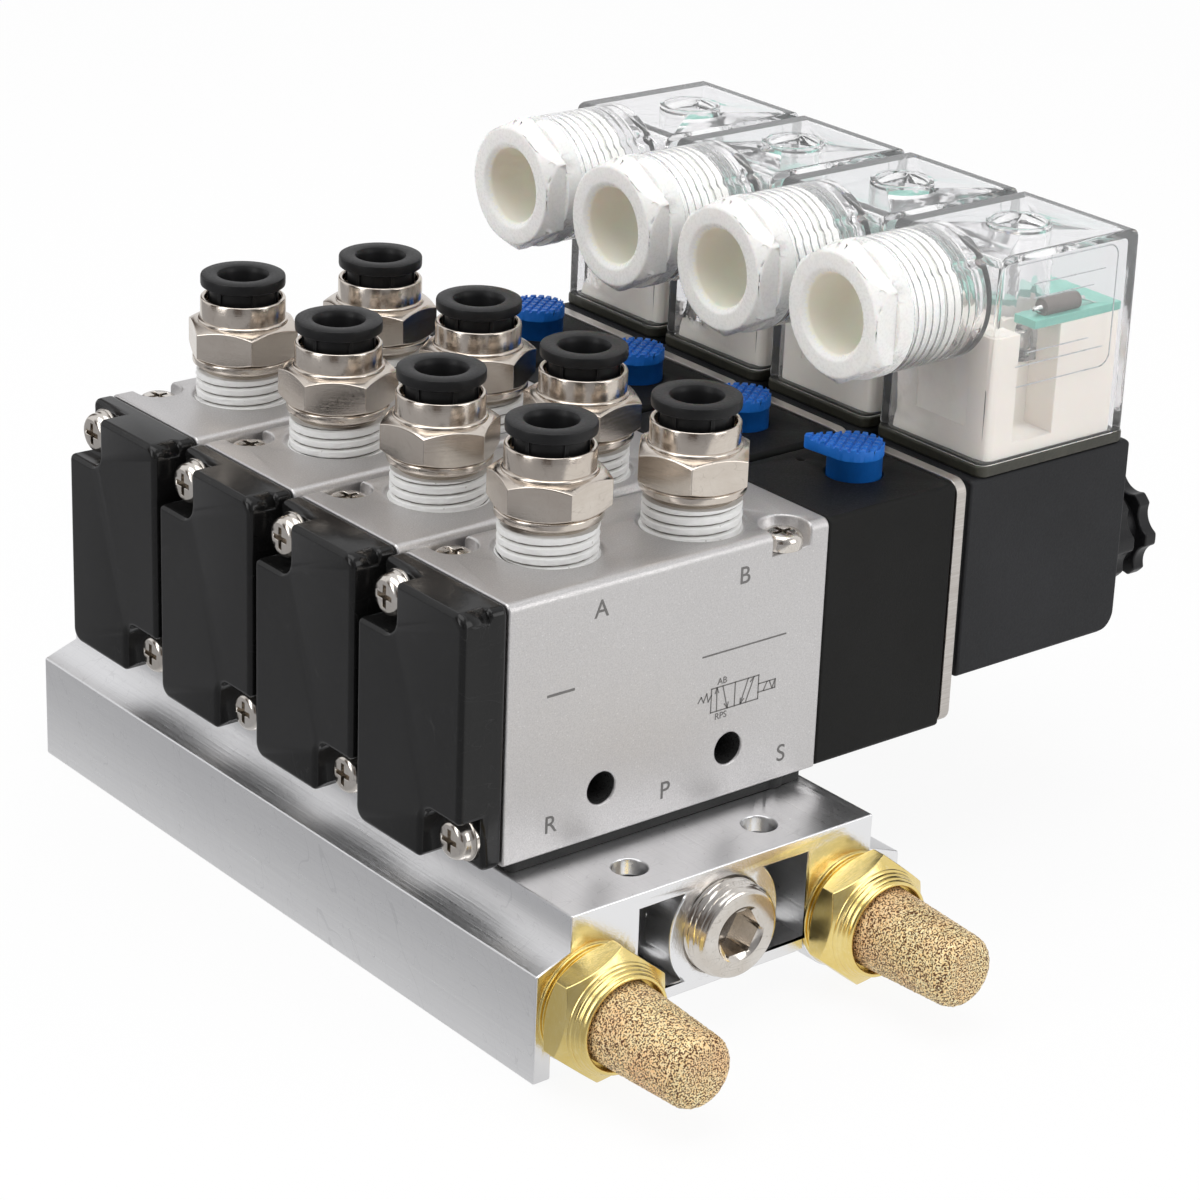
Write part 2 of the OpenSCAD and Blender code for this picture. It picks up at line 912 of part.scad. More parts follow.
module solenoid_coil(n) {
  step = 0.7;
  color([0.11, 0.11, 0.12])
    at_station(n)
      difference() {
        union() {
          intersection() {
            translate([0, coil_w / 2, 0])
              rotate([90, 0, 0])
                linear_extrude(coil_w)
                  coil_side();
            push_x(coil_face, coil_l + 1)
              translate([0, seat_z + coil_lift + coil_h / 2])
                rounded_square(coil_w, coil_h, 0.7);
          }
          push_x(coil_x, coil_step + 0.1)
            translate([0, seat_z + coil_lift + coil_h / 2])
              rounded_square(coil_w - 2 * step, coil_h - 2 * step, 0.7);
        }
        translate([coil_x - 1, 0, armature_level])
          along_x()
            cylinder(r = armature_tube_r + fit, h = coil_l + coil_step + 2);
        translate([conn_screw_x, 0, coil_top - 6.5])
          cylinder(r = m3_tap_r, h = 7);
      }
}

// Knob with two scalloped discs and a groove between them
module coil_nut(n) {
  lobes = 8;
  inner = 4.4;
  groove_l = 2;
  color([0.08, 0.08, 0.08])
    at_station(n)
      translate([coil_end, 0, armature_level])
        along_x()
          difference() {
            union() {
              cylinder(r = coil_nut_r - 2, h = coil_nut_l);
              translate([0, 0, 1.8])
                cylinder(r = coil_nut_r - 0.2, h = inner);
              translate([0, 0, 1.8 + inner + groove_l])
                cylinder(r = coil_nut_r, h = coil_nut_l - 1.8 - inner - groove_l);
            }
            for (i = [0:lobes - 1])
              rotate([0, 0, (i + 0.5) * 360 / lobes])
                translate([coil_nut_r + 1.9, 0, -1])
                  cylinder(r = 3.1, h = coil_nut_l + 2);
            translate([0, 0, -1])
              cylinder(r = 3 + fit, h = coil_nut_l - 0.1);
          }
}

// Connector

module at_connector() {
  translate([cover_x + cover_l / 2, 0, cover_z])
    children();
}

module connector_seals() {
  color([0.13, 0.13, 0.11])
    every_station()
      translate([0, 0, -conn_seal_t])
        at_connector()
          difference() {
            linear_extrude(conn_seal_t)
              rounded_square(cover_l + 0.4, coil_w, 1.5);
            translate([conn_screw_x - cover_x - cover_l / 2, 0, -1])
              cylinder(r = m3_clear_r, h = conn_seal_t + 2);
          }
}

// Side view of the cover between its sloping ends, shrunk by t all round
module cover_side(t, corner) {
  w = cover_l / 2 - t;
  top = cover_h - t;
  slope = cover_draft / cover_h;
  upper = w - slope * top;
  union() {
    polygon([[-w, 0], [w, 0], [upper + slope * corner, top - corner], [upper - corner, top], [-upper + corner, top],
      [-upper - slope * corner, top - corner]]);
    for (s = [-1, 1])
      translate([s * (upper + slope * corner - corner), top - corner])
        circle(r = corner);
  }
}

module cover_block(t, corner) {
  intersection() {
    translate([0, coil_w / 2 - t, 0])
      rotate([90, 0, 0])
        linear_extrude(coil_w - 2 * t)
          cover_side(t, corner);
    linear_extrude(cover_h)
      rounded_square(cover_l - 2 * t, coil_w - 2 * t, corner);
  }
}

// Length inside the cover at a height above its foot
function inside_l(z) = cover_l - 2 * cover_t - 2 * cover_draft * z / cover_h;

module gland_tube_shape(r) {
  translate([tube_x - cover_x - cover_l / 2, 0, cable_level - cover_z])
    along_x()
      cylinder(r = r, h = cable_tube_l + 1);
}

module connector_cover(n) {
  boss_x = conn_screw_x - cover_x - cover_l / 2;
  boss_z = conn_screw_seat - cover_z;
  color([0.85, 0.9, 0.92, 0.35])
    at_station(n)
      at_connector()
        difference() {
          union() {
            difference() {
              cover_block(0, 1.6);
              translate([0, 0, -0.01])
                cover_block(cover_t, 0.8);
            }
            difference() {
              gland_tube_shape(cable_tube_r);
              translate([cover_t - cover_l / 2, -coil_w, 0])
                cube([cover_l, 2 * coil_w, 2 * cover_h]);
            }
            translate([boss_x, 0, boss_z - 1.5])
              cylinder(r = boss_outer_r, h = cover_h - boss_z + 1.5);
            translate([boss_x, 0, cover_h - 0.1])
              cylinder(r = boss_outer_r, h = 0.5);
          }
          translate([tube_x - cover_x - cover_l / 2 - 1, 0, cable_level - cover_z])
            along_x()
              ring_thread(gland_thread_r + 0.65, cable_tube_l + 1, 1.3, 0.5);
          intersection() {
            gland_tube_shape(gland_thread_r - 0.6);
            translate([-cover_l, -coil_w / 2, -1])
              cube([2 * cover_l, coil_w, cover_h - cover_t + 1]);
          }
          translate([boss_x, 0, boss_z])
            cylinder(r = well_r, h = cover_h);
          translate([boss_x, 0, 0])
            cylinder(r = m3_clear_r, h = cover_h);
        }
}

module connector_bases() {
  w = inside_l(board_z) - 2 * loose;
  d = coil_w - 2 * cover_t - 2 * loose;
  post = 2.2;
  recess_l = 7.5;
  panel_edge = 4;
  panel_depth = 0.25;
  boss_x = conn_screw_x - cover_x - cover_l / 2;
  color("ivory")
    every_station()
      at_connector()
        difference() {
          union() {
            linear_extrude(base_h)
              rounded_square(w, d, 0.7);
            for (y = [-1, 1])
              translate([-w / 2 + 0.4, y * (d / 2 - 0.4) - (y > 0 ? post : 0), 0])
                cube([post, post, board_z]);
            intersection() {
              linear_extrude(board_z)
                rounded_square(w, d, 0.7);
              translate([2 * post + recess_l - w / 2 - 0.2, -d, 0])
                cube([w, 2 * d, board_z]);
            }
          }
          translate([-w / 2 + post + 2, -d / 2 - 1, 2])
            cube([recess_l, 6.5, board_z]);
          translate([-w / 2 - 1, -d / 2 + panel_edge, panel_edge])
            cube([1 + panel_depth, d - 2 * panel_edge, base_h - 2 * panel_edge]);
          translate([-w / 2 + post, d / 2 - 5, 5])
            cube([9, 3.5, base_h]);
          translate([boss_x, 0, conn_screw_seat - cover_z - 1.55])
            cylinder(r = boss_outer_r + loose, h = base_h);
          translate([boss_x, 0, -1])
            cylinder(r = m3_clear_r, h = base_h);
        }
}

module circuit_boards() {
  board_t = 1.2;
  w = inside_l(board_z + board_t) - 2 * loose;
  d = coil_w - 2 * cover_t - 3 * loose;
  boss_x = conn_screw_x - cover_x - cover_l / 2;
  notch = boss_outer_r + 0.3;
  reach = w / 2 + notch;
  part_r = 1.25;
  part_l = 6.5;
  lead_r = 0.3;
  lead_reach = 1.6;
  lift = part_r + 0.2;
  color("mediumseagreen")
    every_station()
      at_connector()
        translate([0, 0, board_z]) {
          difference() {
            translate([w / 2 - reach, -d / 2, 0])
              cube([reach, d, board_t]);
            translate([boss_x, 0, -1])
              cylinder(r = notch, h = board_t + 2);
            translate([boss_x - reach, -notch, -1])
              cube([reach, 2 * notch, board_t + 2]);
          }
          translate([boss_x, part_r + 0.4 - d / 2, board_t + lift])
            along_x() {
              cylinder(r = part_r, h = part_l);
              translate([0, 0, -lead_reach])
                cylinder(r = lead_r, h = part_l + 2 * lead_reach);
            }
          for (x = [lead_r - lead_reach, part_l + lead_reach - lead_r])
            translate([boss_x + x, part_r + 0.4 - d / 2, board_t - 0.1])
              cylinder(r = lead_r, h = lift + 0.1);
        }
}

module connector_screws() {
  color("lightgray")
    every_station()
      translate([conn_screw_x, 0, conn_screw_seat])
        pan_screw(conn_screw_seat - coil_top + 6);
}

// Cable gland: a rubber bush and the nut that squeezes it

module gland_seals() {
  color("tan")
    every_station()
      translate([tube_x + gland_shank_l, 0, cable_level])
        along_x()
          difference() {
            cylinder(r = gland_thread_r, h = gland_seal_l);
            translate([0, 0, -1])
              cylinder(r = cable_r + 0.1, h = gland_seal_l + 2);
          }
}

module gland_nut(n) {
  head = gland_hex_l + gland_ring_l;
  color("whitesmoke")
    at_station(n)
      translate([tube_x - head, 0, cable_level])
        along_x()
          difference() {
            union() {
              intersection() {
                hexagon_bar(gland_hex_af, gland_hex_l + 0.1);
                cylinder(r1 = gland_hex_af / 2 - 0.2, r2 = gland_hex_af / 2 + 2.6, h = gland_hex_l + 0.2);
              }
              translate([0, 0, gland_hex_l])
                cylinder(r = cable_tube_r + 0.1, h = gland_ring_l);
              translate([0, 0, head - 0.1])
                ring_thread(gland_thread_r, gland_shank_l + 0.1, 1.3, 0.5);
            }
            translate([0, 0, -1])
              cylinder(r = cable_r, h = head + gland_shank_l + 2);
            translate([0, 0, -0.01])
              cylinder(r1 = cable_r + 0.8, r2 = cable_r, h = 0.8);
          }
}

// Push-in fittings, which stand on the body's top at z = 0

module fitting_body(turn) {
  bottom = 1 - tube_port_depth;
  difference() {
    union() {
      translate([0, 0, bottom])
        ring_thread(plug_thread, hex_z - bottom - 2, thread_pitch, 0.7);
      translate([0, 0, hex_z - 2.1])
        cylinder(r = 5.7, h = 1.1);
      translate([0, 0, hex_z - 1.1])
        cylinder(r = fitting_af / 2, h = 1.2);
      translate([0, 0, hex_z])
        rotate([0, 0, turn])
          chamfered_hexagon(fitting_af, hex_h, 0.9);
      translate([0, 0, hex_z + hex_h - 0.1])
        cylinder(r = 5.9, h = collar_h + 0.1);
    }
    translate([0, 0, bottom - 1])
      cylinder(r = 2.6, h = fitting_top);
    translate([0, 0, hex_z - 3])
      cylinder(r = tube_bore_r, h = fitting_top);
    translate([0, 0, hex_z + 3])
      cylinder(r = sleeve_r + 0.1, h = fitting_top);
  }
}

module fitting_bodies() {
  color("silver")
    for (n = [1:stations], k = [0, 1])
      at_station(n)
        at_port(k == 0 ? "a" : "b")
          fitting_body(fitting_turn[k * stations + n - 1]);
}

module tube_seals() {
  color([0.1, 0.1, 0.1])
    for (n = [1:stations], port = ["a", "b"])
      at_station(n)
        at_port(port)
          translate([0, 0, hex_z + 3])
            difference() {
              cylinder(r = sleeve_r, h = 1.6);
              translate([0, 0, -1])
                cylinder(r = tube_bore_r + 0.04, h = 4);
            }
}

module release_ring(port, n) {
  low = hex_z + 3 + 1.6 + ring_travel + 0.1;
  neck_top = fitting_top + ring_gap;
  color([0.07, 0.07, 0.07])
    at_station(n)
      at_port(port)
        difference() {
          union() {
            translate([0, 0, low])
              cylinder(r = sleeve_r, h = neck_top - low + 0.1);
            translate([0, 0, neck_top])
              rotate_extrude()
                polygon([[0, 0], [ring_r, 0], [ring_r, ring_t - 0.4], [ring_r - 0.4, ring_t], [0, ring_t]]);
          }
          translate([0, 0, low - 1])
            cylinder(r = tube_bore_r + 0.05, h = neck_top + ring_t);
          translate([0, 0, neck_top + ring_t - 0.5])
            cylinder(r1 = tube_bore_r + 0.05, r2 = tube_bore_r + 0.6, h = 0.51);
        }
}

manifold();
port_plugs();
silencer_bodies();
silencer_elements();
valve_gaskets();
valve_body(1);  // valve_body_1
valve_body(2);  // valve_body_2
valve_body(3);  // valve_body_3
valve_body(4);  // valve_body_4
end_caps();
cap_screws();
body_screws();
return_springs();
spool(1);  // spool_1
spool(2);  // spool_2
spool(3);  // spool_3
spool(4);  // spool_4
pilot_blocks();
pilot_screws();
yoke_plates();
override_button(1);  // override_1
override_button(2);  // override_2
override_button(3);  // override_3
override_button(4);  // override_4
armature_tubes();
armature(1);  // armature_1
armature(2);  // armature_2
armature(3);  // armature_3
armature(4);  // armature_4
solenoid_coil(1);  // solenoid_coil_1
solenoid_coil(2);  // solenoid_coil_2
solenoid_coil(3);  // solenoid_coil_3
solenoid_coil(4);  // solenoid_coil_4
coil_nut(1);  // coil_nut_1
coil_nut(2);  // coil_nut_2
coil_nut(3);  // coil_nut_3
coil_nut(4);  // coil_nut_4
connector_seals();
connector_bases();
circuit_boards();
connector_screws();
connector_cover(1);  // connector_cover_1
connector_cover(2);  // connector_cover_2
connector_cover(3);  // connector_cover_3
connector_cover(4);  // connector_cover_4
gland_seals();
gland_nut(1);  // gland_nut_1
gland_nut(2);  // gland_nut_2
gland_nut(3);  // gland_nut_3
gland_nut(4);  // gland_nut_4
fitting_bodies();
tube_seals();
release_ring("a", 1);  // release_ring_a1
release_ring("a", 2);  // release_ring_a2
release_ring("a", 3);  // release_ring_a3
release_ring("a", 4);  // release_ring_a4
release_ring("b", 1);  // release_ring_b1
release_ring("b", 2);  // release_ring_b2
release_ring("b", 3);  // release_ring_b3
release_ring("b", 4);  // release_ring_b4
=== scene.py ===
# %% [markdown]
# # A row of solenoid valves on one manifold
# Four valves stand side by side on an aluminium extrusion. Each has two push-in
# fittings, a glossy end cap, a black pilot block, a coil and a clear plug. The
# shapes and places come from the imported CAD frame; this lesson gives each piece
# rolled edges, small details and a procedural finish.

import json
import math

import bmesh
import bpy
from mathutils import Matrix, Vector, noise


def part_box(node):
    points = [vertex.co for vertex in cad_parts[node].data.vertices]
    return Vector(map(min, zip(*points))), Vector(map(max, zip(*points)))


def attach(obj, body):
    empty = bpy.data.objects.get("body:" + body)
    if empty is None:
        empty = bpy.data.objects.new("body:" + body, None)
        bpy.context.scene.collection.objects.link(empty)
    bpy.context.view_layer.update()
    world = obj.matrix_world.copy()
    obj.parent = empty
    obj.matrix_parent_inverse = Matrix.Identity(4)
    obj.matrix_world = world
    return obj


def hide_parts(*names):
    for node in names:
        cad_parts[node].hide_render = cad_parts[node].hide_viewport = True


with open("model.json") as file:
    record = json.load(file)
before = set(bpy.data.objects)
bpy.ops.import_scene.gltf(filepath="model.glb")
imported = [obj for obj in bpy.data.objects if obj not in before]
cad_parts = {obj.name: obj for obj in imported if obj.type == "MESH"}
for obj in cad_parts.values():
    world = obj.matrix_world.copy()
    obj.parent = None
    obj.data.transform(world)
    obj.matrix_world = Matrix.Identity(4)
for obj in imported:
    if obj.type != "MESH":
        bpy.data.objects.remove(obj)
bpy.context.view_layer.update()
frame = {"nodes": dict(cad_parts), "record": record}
mm = 0.001
stations = (1, 2, 3, 4)
body_of_node = {node: body for body, nodes in frame["record"]["behaviour"]["bodies"].items() for node in nodes}

# %% [markdown]
# ## Camera
# The photograph was taken with a long lens from the front left, a little above
# the valves, and the camera leaned slightly. The camera is placed by its turn
# about the upright axis, its height angle and its distance, and then rolled.

# %% Camera
aim = Vector((-8.87, 3.95, 34.64)) * mm
turn, rise, lean = math.radians(-39.51), math.radians(22.81), math.radians(2.247)
distance = 501.5 * mm
back = Vector((math.sin(turn) * math.cos(rise), -math.cos(turn) * math.cos(rise), math.sin(rise)))
side = (-back).cross(Vector((0, 0, 1))).normalized()
over = side.cross(-back)
right = side * math.cos(lean) + over * math.sin(lean)
up = over * math.cos(lean) - side * math.sin(lean)
lens = bpy.data.cameras.new("photo_lens")
lens.lens = 108.5
lens.sensor_width = 36
lens.clip_start = 0.01
camera = bpy.data.objects.new("photo_camera", lens)
camera.matrix_world = Matrix.Translation(aim + back * distance) @ Matrix((right, up, back)).transposed().to_4x4()
bpy.context.scene.collection.objects.link(camera)
bpy.context.scene.camera = camera
print("camera at", [round(v, 3) for v in camera.location])

# %% [markdown]
# ## Small tools for shader nodes
# Every finish below is a graph of shader nodes. `put` adds one node, sets the
# inputs that are numbers and links the inputs that are sockets, so a graph
# reads like a list. `shader_group` makes a group with named sockets.

# %% Tools for shader nodes
def put(tree, kind, inputs=None, **settings):
    made = tree.nodes.new("ShaderNode" + kind)
    for key, value in settings.items():
        setattr(made, key, value)
    for key, value in (inputs or {}).items():
        if isinstance(value, bpy.types.NodeSocket):
            tree.links.new(value, made.inputs[key])
        else:
            made.inputs[key].default_value = value
    return made


def figure(tree, operation, a, b=0.0, c=0.0):
    return put(tree, "Math", {0: a, 1: b, 2: c}, operation=operation).outputs[0]


def spread(tree, value, low, high, to_low=0.0, to_high=1.0):
    ends = {"Value": value, "From Min": low, "From Max": high, "To Min": to_low, "To Max": to_high}
    return put(tree, "MapRange", ends).outputs[0]


def mix_colour(tree, factor, a, b):
    made = put(tree, "Mix", {0: factor}, data_type="RGBA")
    for index, colour in ((6, a), (7, b)):
        if isinstance(colour, bpy.types.NodeSocket):
            tree.links.new(colour, made.inputs[index])
        else:
            made.inputs[index].default_value = (*colour, 1.0)
    return made.outputs[2]


def shader_group(name, inputs, outputs):
    tree = bpy.data.node_groups.new(name, "ShaderNodeTree")
    for label, kind, value in inputs:
        socket = tree.interface.new_socket(name=label, in_out="INPUT", socket_type="NodeSocket" + kind)
        socket.default_value = value
    for label in outputs:
        tree.interface.new_socket(name=label, in_out="OUTPUT", socket_type="NodeSocketFloat")
    return tree, tree.nodes.new("NodeGroupInput").outputs, tree.nodes.new("NodeGroupOutput").inputs


# %% [markdown]
# ## Shared effects
# Moulded and blasted surfaces are finely grained, drawn and brushed metal has
# long lines, handled parts have worn edges and hair scratches. Each effect is
# one group that gives masks from 0 to 1, and each finish uses it with its own
# numbers. All of them read object coordinates, so the grain has its real size.

# %% Group: surface grain
grain_group, given, result = shader_group(
    "surface grain", [("Fine scale", "Float", 4000.0), ("Broad scale", "Float", 60.0)], ["Fine", "Broad"])
place = put(grain_group, "TexCoord").outputs["Object"]
fine = put(grain_group, "TexNoise", {"Vector": place, "Scale": given["Fine scale"], "Detail": 3.0, "Roughness": 0.6})
broad = put(grain_group, "TexNoise", {"Vector": place, "Scale": given["Broad scale"], "Detail": 5.0,
                                      "Roughness": 0.6})
grain_group.links.new(spread(grain_group, fine.outputs[0], 0.25, 0.75), result["Fine"])
grain_group.links.new(spread(grain_group, broad.outputs[0], 0.3, 0.7), result["Broad"])

# %% Group: drawn lines
lines_group, given, result = shader_group("drawn lines", [("Lines each way", "Vector", (8000.0, 60.0, 8000.0))],
                                          ["Lines", "Bands"])
place = put(lines_group, "TexCoord").outputs["Object"]
stretched = put(lines_group, "VectorMath", {0: place, 1: given["Lines each way"]}, operation="MULTIPLY").outputs[0]
wider = put(lines_group, "VectorMath", {0: stretched, 3: 0.12}, operation="SCALE").outputs[0]
close = put(lines_group, "TexNoise", {"Vector": stretched, "Scale": 1.0, "Detail": 4.0, "Roughness": 0.7})
bands = put(lines_group, "TexNoise", {"Vector": wider, "Scale": 1.0, "Detail": 3.0})
lines_group.links.new(spread(lines_group, close.outputs[0], 0.25, 0.75), result["Lines"])
lines_group.links.new(spread(lines_group, bands.outputs[0], 0.3, 0.7), result["Bands"])

# %% Group: worn edges
edge_group, given, result = shader_group("worn edges",
                                         [("Reach", "Float", 0.0004), ("Breakup scale", "Float", 900.0)], ["Edge"])
rolled = put(edge_group, "Bevel", {"Radius": given["Reach"]}, samples=4).outputs[0]
facing = put(edge_group, "NewGeometry").outputs["Normal"]
agree = put(edge_group, "VectorMath", {0: rolled, 1: facing}, operation="DOT_PRODUCT").outputs["Value"]
place = put(edge_group, "TexCoord").outputs["Object"]
breakup = put(edge_group, "TexNoise", {"Vector": place, "Scale": given["Breakup scale"], "Detail": 3.0}).outputs[0]
bare = spread(edge_group, agree, 0.995, 0.93)
edge_group.links.new(figure(edge_group, "MULTIPLY", bare, spread(edge_group, breakup, 0.35, 0.6)), result["Edge"])

# %% Group: hair scratches
scratch_group, given, result = shader_group("hair scratches", [("Scale", "Float", 60.0), ("Width", "Float", 0.006)],
                                            ["Scratch"])
place = put(scratch_group, "TexCoord").outputs["Object"]
marks = []
for angle, stretch in ((0.5, (1.0, 9.0, 4.0)), (2.1, (7.0, 1.0, 5.0))):
    turned_place = put(scratch_group, "VectorRotate", {"Vector": place, "Angle": angle},
                       rotation_type="X_AXIS").outputs[0]
    long_place = put(scratch_group, "VectorMath", {0: turned_place, 1: stretch}, operation="MULTIPLY").outputs[0]
    field = put(scratch_group, "TexNoise", {"Vector": long_place, "Scale": given["Scale"], "Detail": 1.0}).outputs[0]
    away = figure(scratch_group, "ABSOLUTE", figure(scratch_group, "SUBTRACT", field, 0.5))
    marks.append(figure(scratch_group, "LESS_THAN", away, given["Width"]))
scratch_group.links.new(figure(scratch_group, "MAXIMUM", *marks), result["Scratch"])

# %% Group: specks and glints
speck_and_glint_group, given, result = shader_group("specks and glints", [("Scale", "Float", 900.0), ("Size", "Float", 0.16)], ["Speck"])
place = put(speck_and_glint_group, "TexCoord").outputs["Object"]
dots = put(speck_and_glint_group, "TexVoronoi", {"Vector": place, "Scale": given["Scale"]})
chosen = put(speck_and_glint_group, "SeparateColor", {0: dots.outputs["Color"]}).outputs[0]
limit = figure(speck_and_glint_group, "MULTIPLY", given["Size"], spread(speck_and_glint_group, chosen, 0.75, 1.0))
speck_and_glint_group.links.new(figure(speck_and_glint_group, "LESS_THAN", dots.outputs["Distance"], limit), result["Speck"])
print("shared effects:", [group.name for group in bpy.data.node_groups])

# %% [markdown]
# ## One recipe for a finish
# A finish starts as two close colours that drift into each other. Fine grain changes the roughness and makes a
# shallow bump. Lines, worn edges, scratches and specks are added where the real surface has them; on blasted
# aluminium the white specks are painted glints. Values that are the same all over, such as the coat, are set on the
# shader's own sockets.

# %% The recipe
def use_group(tree, group, inputs):
    made = tree.nodes.new("ShaderNodeGroup")
    made.node_tree = group
    for key, value in inputs.items():
        made.inputs[key].default_value = value
    return made.outputs


def finish(name, colours, roughness, metallic=0.0, grain=(4000.0, 60.0), depth=0.01, lines=None, line_depth=0.0,
           edge=None, scratch=None, speck_and_glint=None, mottle=None, streak=None, **sockets):
    material = bpy.data.materials.new(name)
    material.use_nodes = True
    tree = material.node_tree
    shader = tree.nodes["Principled BSDF"]
    shader.inputs["Metallic"].default_value = metallic
    for label, value in sockets.items():
        shader.inputs[label.replace("_", " ")].default_value = value
    masks = use_group(tree, grain_group, {"Fine scale": grain[0], "Broad scale": grain[1]})
    colour = mix_colour(tree, masks["Broad"], *colours)
    if mottle:
        colour = mix_colour(tree, figure(tree, "MULTIPLY", masks["Fine"], mottle[0]), colour, mottle[1])
    rough = spread(tree, masks["Fine"], 0, 1, *roughness)
    height = figure(tree, "MULTIPLY", masks["Fine"], depth * mm)
    if lines:
        drawn = use_group(tree, lines_group, {"Lines each way": lines})
        rough = figure(tree, "MULTIPLY_ADD", drawn["Lines"], roughness[1] - roughness[0], rough)
        height = figure(tree, "MULTIPLY_ADD", drawn["Lines"], line_depth * mm, height)
        colour = mix_colour(tree, figure(tree, "MULTIPLY", drawn["Bands"], 0.5), colour, colours[1])
        if streak:
            colour = mix_colour(tree, figure(tree, "MULTIPLY", drawn["Lines"], streak[0]), colour, streak[1])
    if scratch:
        hair = use_group(tree, scratch_group, {"Scale": scratch[0], "Width": scratch[1]})
        colour = mix_colour(tree, figure(tree, "MULTIPLY", hair["Scratch"], scratch[2]), colour, scratch[3])
    if speck_and_glint:
        dot = use_group(tree, speck_and_glint_group, {"Scale": speck_and_glint[0], "Size": speck_and_glint[1]})
        colour = mix_colour(tree, figure(tree, "MULTIPLY", dot["Speck"], speck_and_glint[2]), colour, speck_and_glint[3])
    if edge:
        worn = use_group(tree, edge_group, {"Reach": edge[0] * mm})
        colour = mix_colour(tree, figure(tree, "MULTIPLY", worn["Edge"], edge[1]), colour, edge[2])
    bump = put(tree, "Bump", {"Height": height, "Distance": 1.0, "Strength": 1.0})
    tree.links.new(colour, shader.inputs["Base Color"])
    tree.links.new(rough, shader.inputs["Roughness"])
    tree.links.new(bump.outputs[0], shader.inputs["Normal"])
    return material


# %% [markdown]
# ## Aluminium
# The manifold is drawn and anodised, so fine lines run along its length, and its sawn ends are bright. The valve
# bodies are blasted: a soft grey whose sparkle is painted into the colour as white specks, which are painted glints.
# Ground and drawn inner parts get a darker, tighter finish.

# %% Aluminium finishes
drawn_aluminium = finish(
    "drawn aluminium", [(0.90, 0.90, 0.90), (0.83, 0.83, 0.84)], (0.22, 0.34), 1.0, (2500.0, 25.0), 0.003,
    lines=(2800.0, 45.0, 2800.0), line_depth=0.016, scratch=(45.0, 0.003, 0.25, (0.55, 0.55, 0.56)),
    edge=(0.35, 0.8, (0.93, 0.93, 0.94)), streak=(0.45, (0.74, 0.74, 0.75)))
tree = drawn_aluminium.node_tree
shader = tree.nodes["Principled BSDF"]
facing = put(tree, "SeparateXYZ", {0: put(tree, "TexCoord").outputs["Normal"]}).outputs["Y"]
sawn = spread(tree, figure(tree, "ABSOLUTE", facing), 0.6, 0.9)
sides_rough = shader.inputs["Roughness"].links[0].from_socket
sides_colour = shader.inputs["Base Color"].links[0].from_socket
ends_grain = use_group(tree, grain_group, {"Fine scale": 1500.0, "Broad scale": 120.0})["Broad"]
ends_rough = spread(tree, ends_grain, 0, 1, 0.10, 0.22)
mixed = put(tree, "Mix", {0: sawn, 2: sides_rough, 3: ends_rough})
tree.links.new(mixed.outputs[0], shader.inputs["Roughness"])
tree.links.new(mix_colour(tree, sawn, sides_colour, (0.90, 0.90, 0.91)), shader.inputs["Base Color"])

# The white specks on the blasted aluminium are painted glints of its grain.
blasted_aluminium = finish(
    "blasted aluminium", [(0.71, 0.695, 0.69), (0.67, 0.655, 0.65)], (0.28, 0.48), 0.9, (4600.0, 30.0), 0.022,
    speck_and_glint=(2900.0, 0.30, 0.3, (1.0, 1.0, 1.0)), edge=(0.3, 0.5, (0.95, 0.95, 0.95)),
    mottle=(0.6, (0.46, 0.45, 0.45)))
hole_shadow = finish(
    "hole shadow", [(0.035, 0.035, 0.034), (0.05, 0.05, 0.05)], (0.2, 0.4), 0.0, (2500.0, 120.0), 0.006)
spool_alloy = finish(
    "spool alloy", [(0.58, 0.59, 0.61), (0.50, 0.51, 0.54)], (0.2, 0.35), 1.0, (4000.0, 90.0), 0.004,
    lines=(9000.0, 60.0, 60.0), line_depth=0.003)
print("aluminium finishes:", drawn_aluminium.name, blasted_aluminium.name, spool_alloy.name)

# %% [markdown]
# ## Plated and bare metals
# Nickel plate is warmer than chrome and mirrors its surroundings, with turning
# lines round it. The silencers are bare brass that shows every tool mark. The
# yoke plates are zinc plated steel with sheared edges.

# %% Metal finishes
nickel_plate = finish(
    "nickel plate", [(0.76, 0.70, 0.63), (0.64, 0.57, 0.50)], (0.07, 0.18), 1.0, (3000.0, 120.0), 0.002,
    lines=(50.0, 50.0, 7000.0), line_depth=0.003, scratch=(110.0, 0.004, 0.3, (0.45, 0.4, 0.36)),
    edge=(0.15, 0.6, (0.92, 0.88, 0.82)))
bright_nickel = finish(
    "bright nickel", [(0.80, 0.77, 0.73), (0.66, 0.61, 0.55)], (0.06, 0.16), 1.0, (3000.0, 200.0), 0.003,
    lines=(2500.0, 60.0, 2500.0), line_depth=0.002, scratch=(150.0, 0.006, 0.35, (0.4, 0.38, 0.35)))
turned_brass = finish(
    "turned brass", [(0.97, 0.80, 0.36), (0.88, 0.67, 0.22)], (0.09, 0.20), 1.0, (1800.0, 260.0), 0.004,
    lines=(60.0, 6500.0, 60.0), line_depth=0.006, scratch=(160.0, 0.008, 0.4, (0.95, 0.80, 0.42)),
    edge=(0.15, 0.6, (0.97, 0.85, 0.5)))
plated_steel = finish(
    "plated steel", [(0.72, 0.69, 0.66), (0.60, 0.57, 0.54)], (0.25, 0.4), 1.0, (3000.0, 150.0), 0.006,
    lines=(60.0, 60.0, 3400.0), line_depth=0.03, edge=(0.2, 0.6, (0.9, 0.88, 0.85)),
    streak=(0.7, (0.42, 0.38, 0.34)))
drawn_steel = finish(
    "drawn steel", [(0.56, 0.56, 0.57), (0.46, 0.46, 0.48)], (0.22, 0.36), 1.0, (3000.0, 120.0), 0.004,
    lines=(60.0, 7000.0, 7000.0), line_depth=0.003)
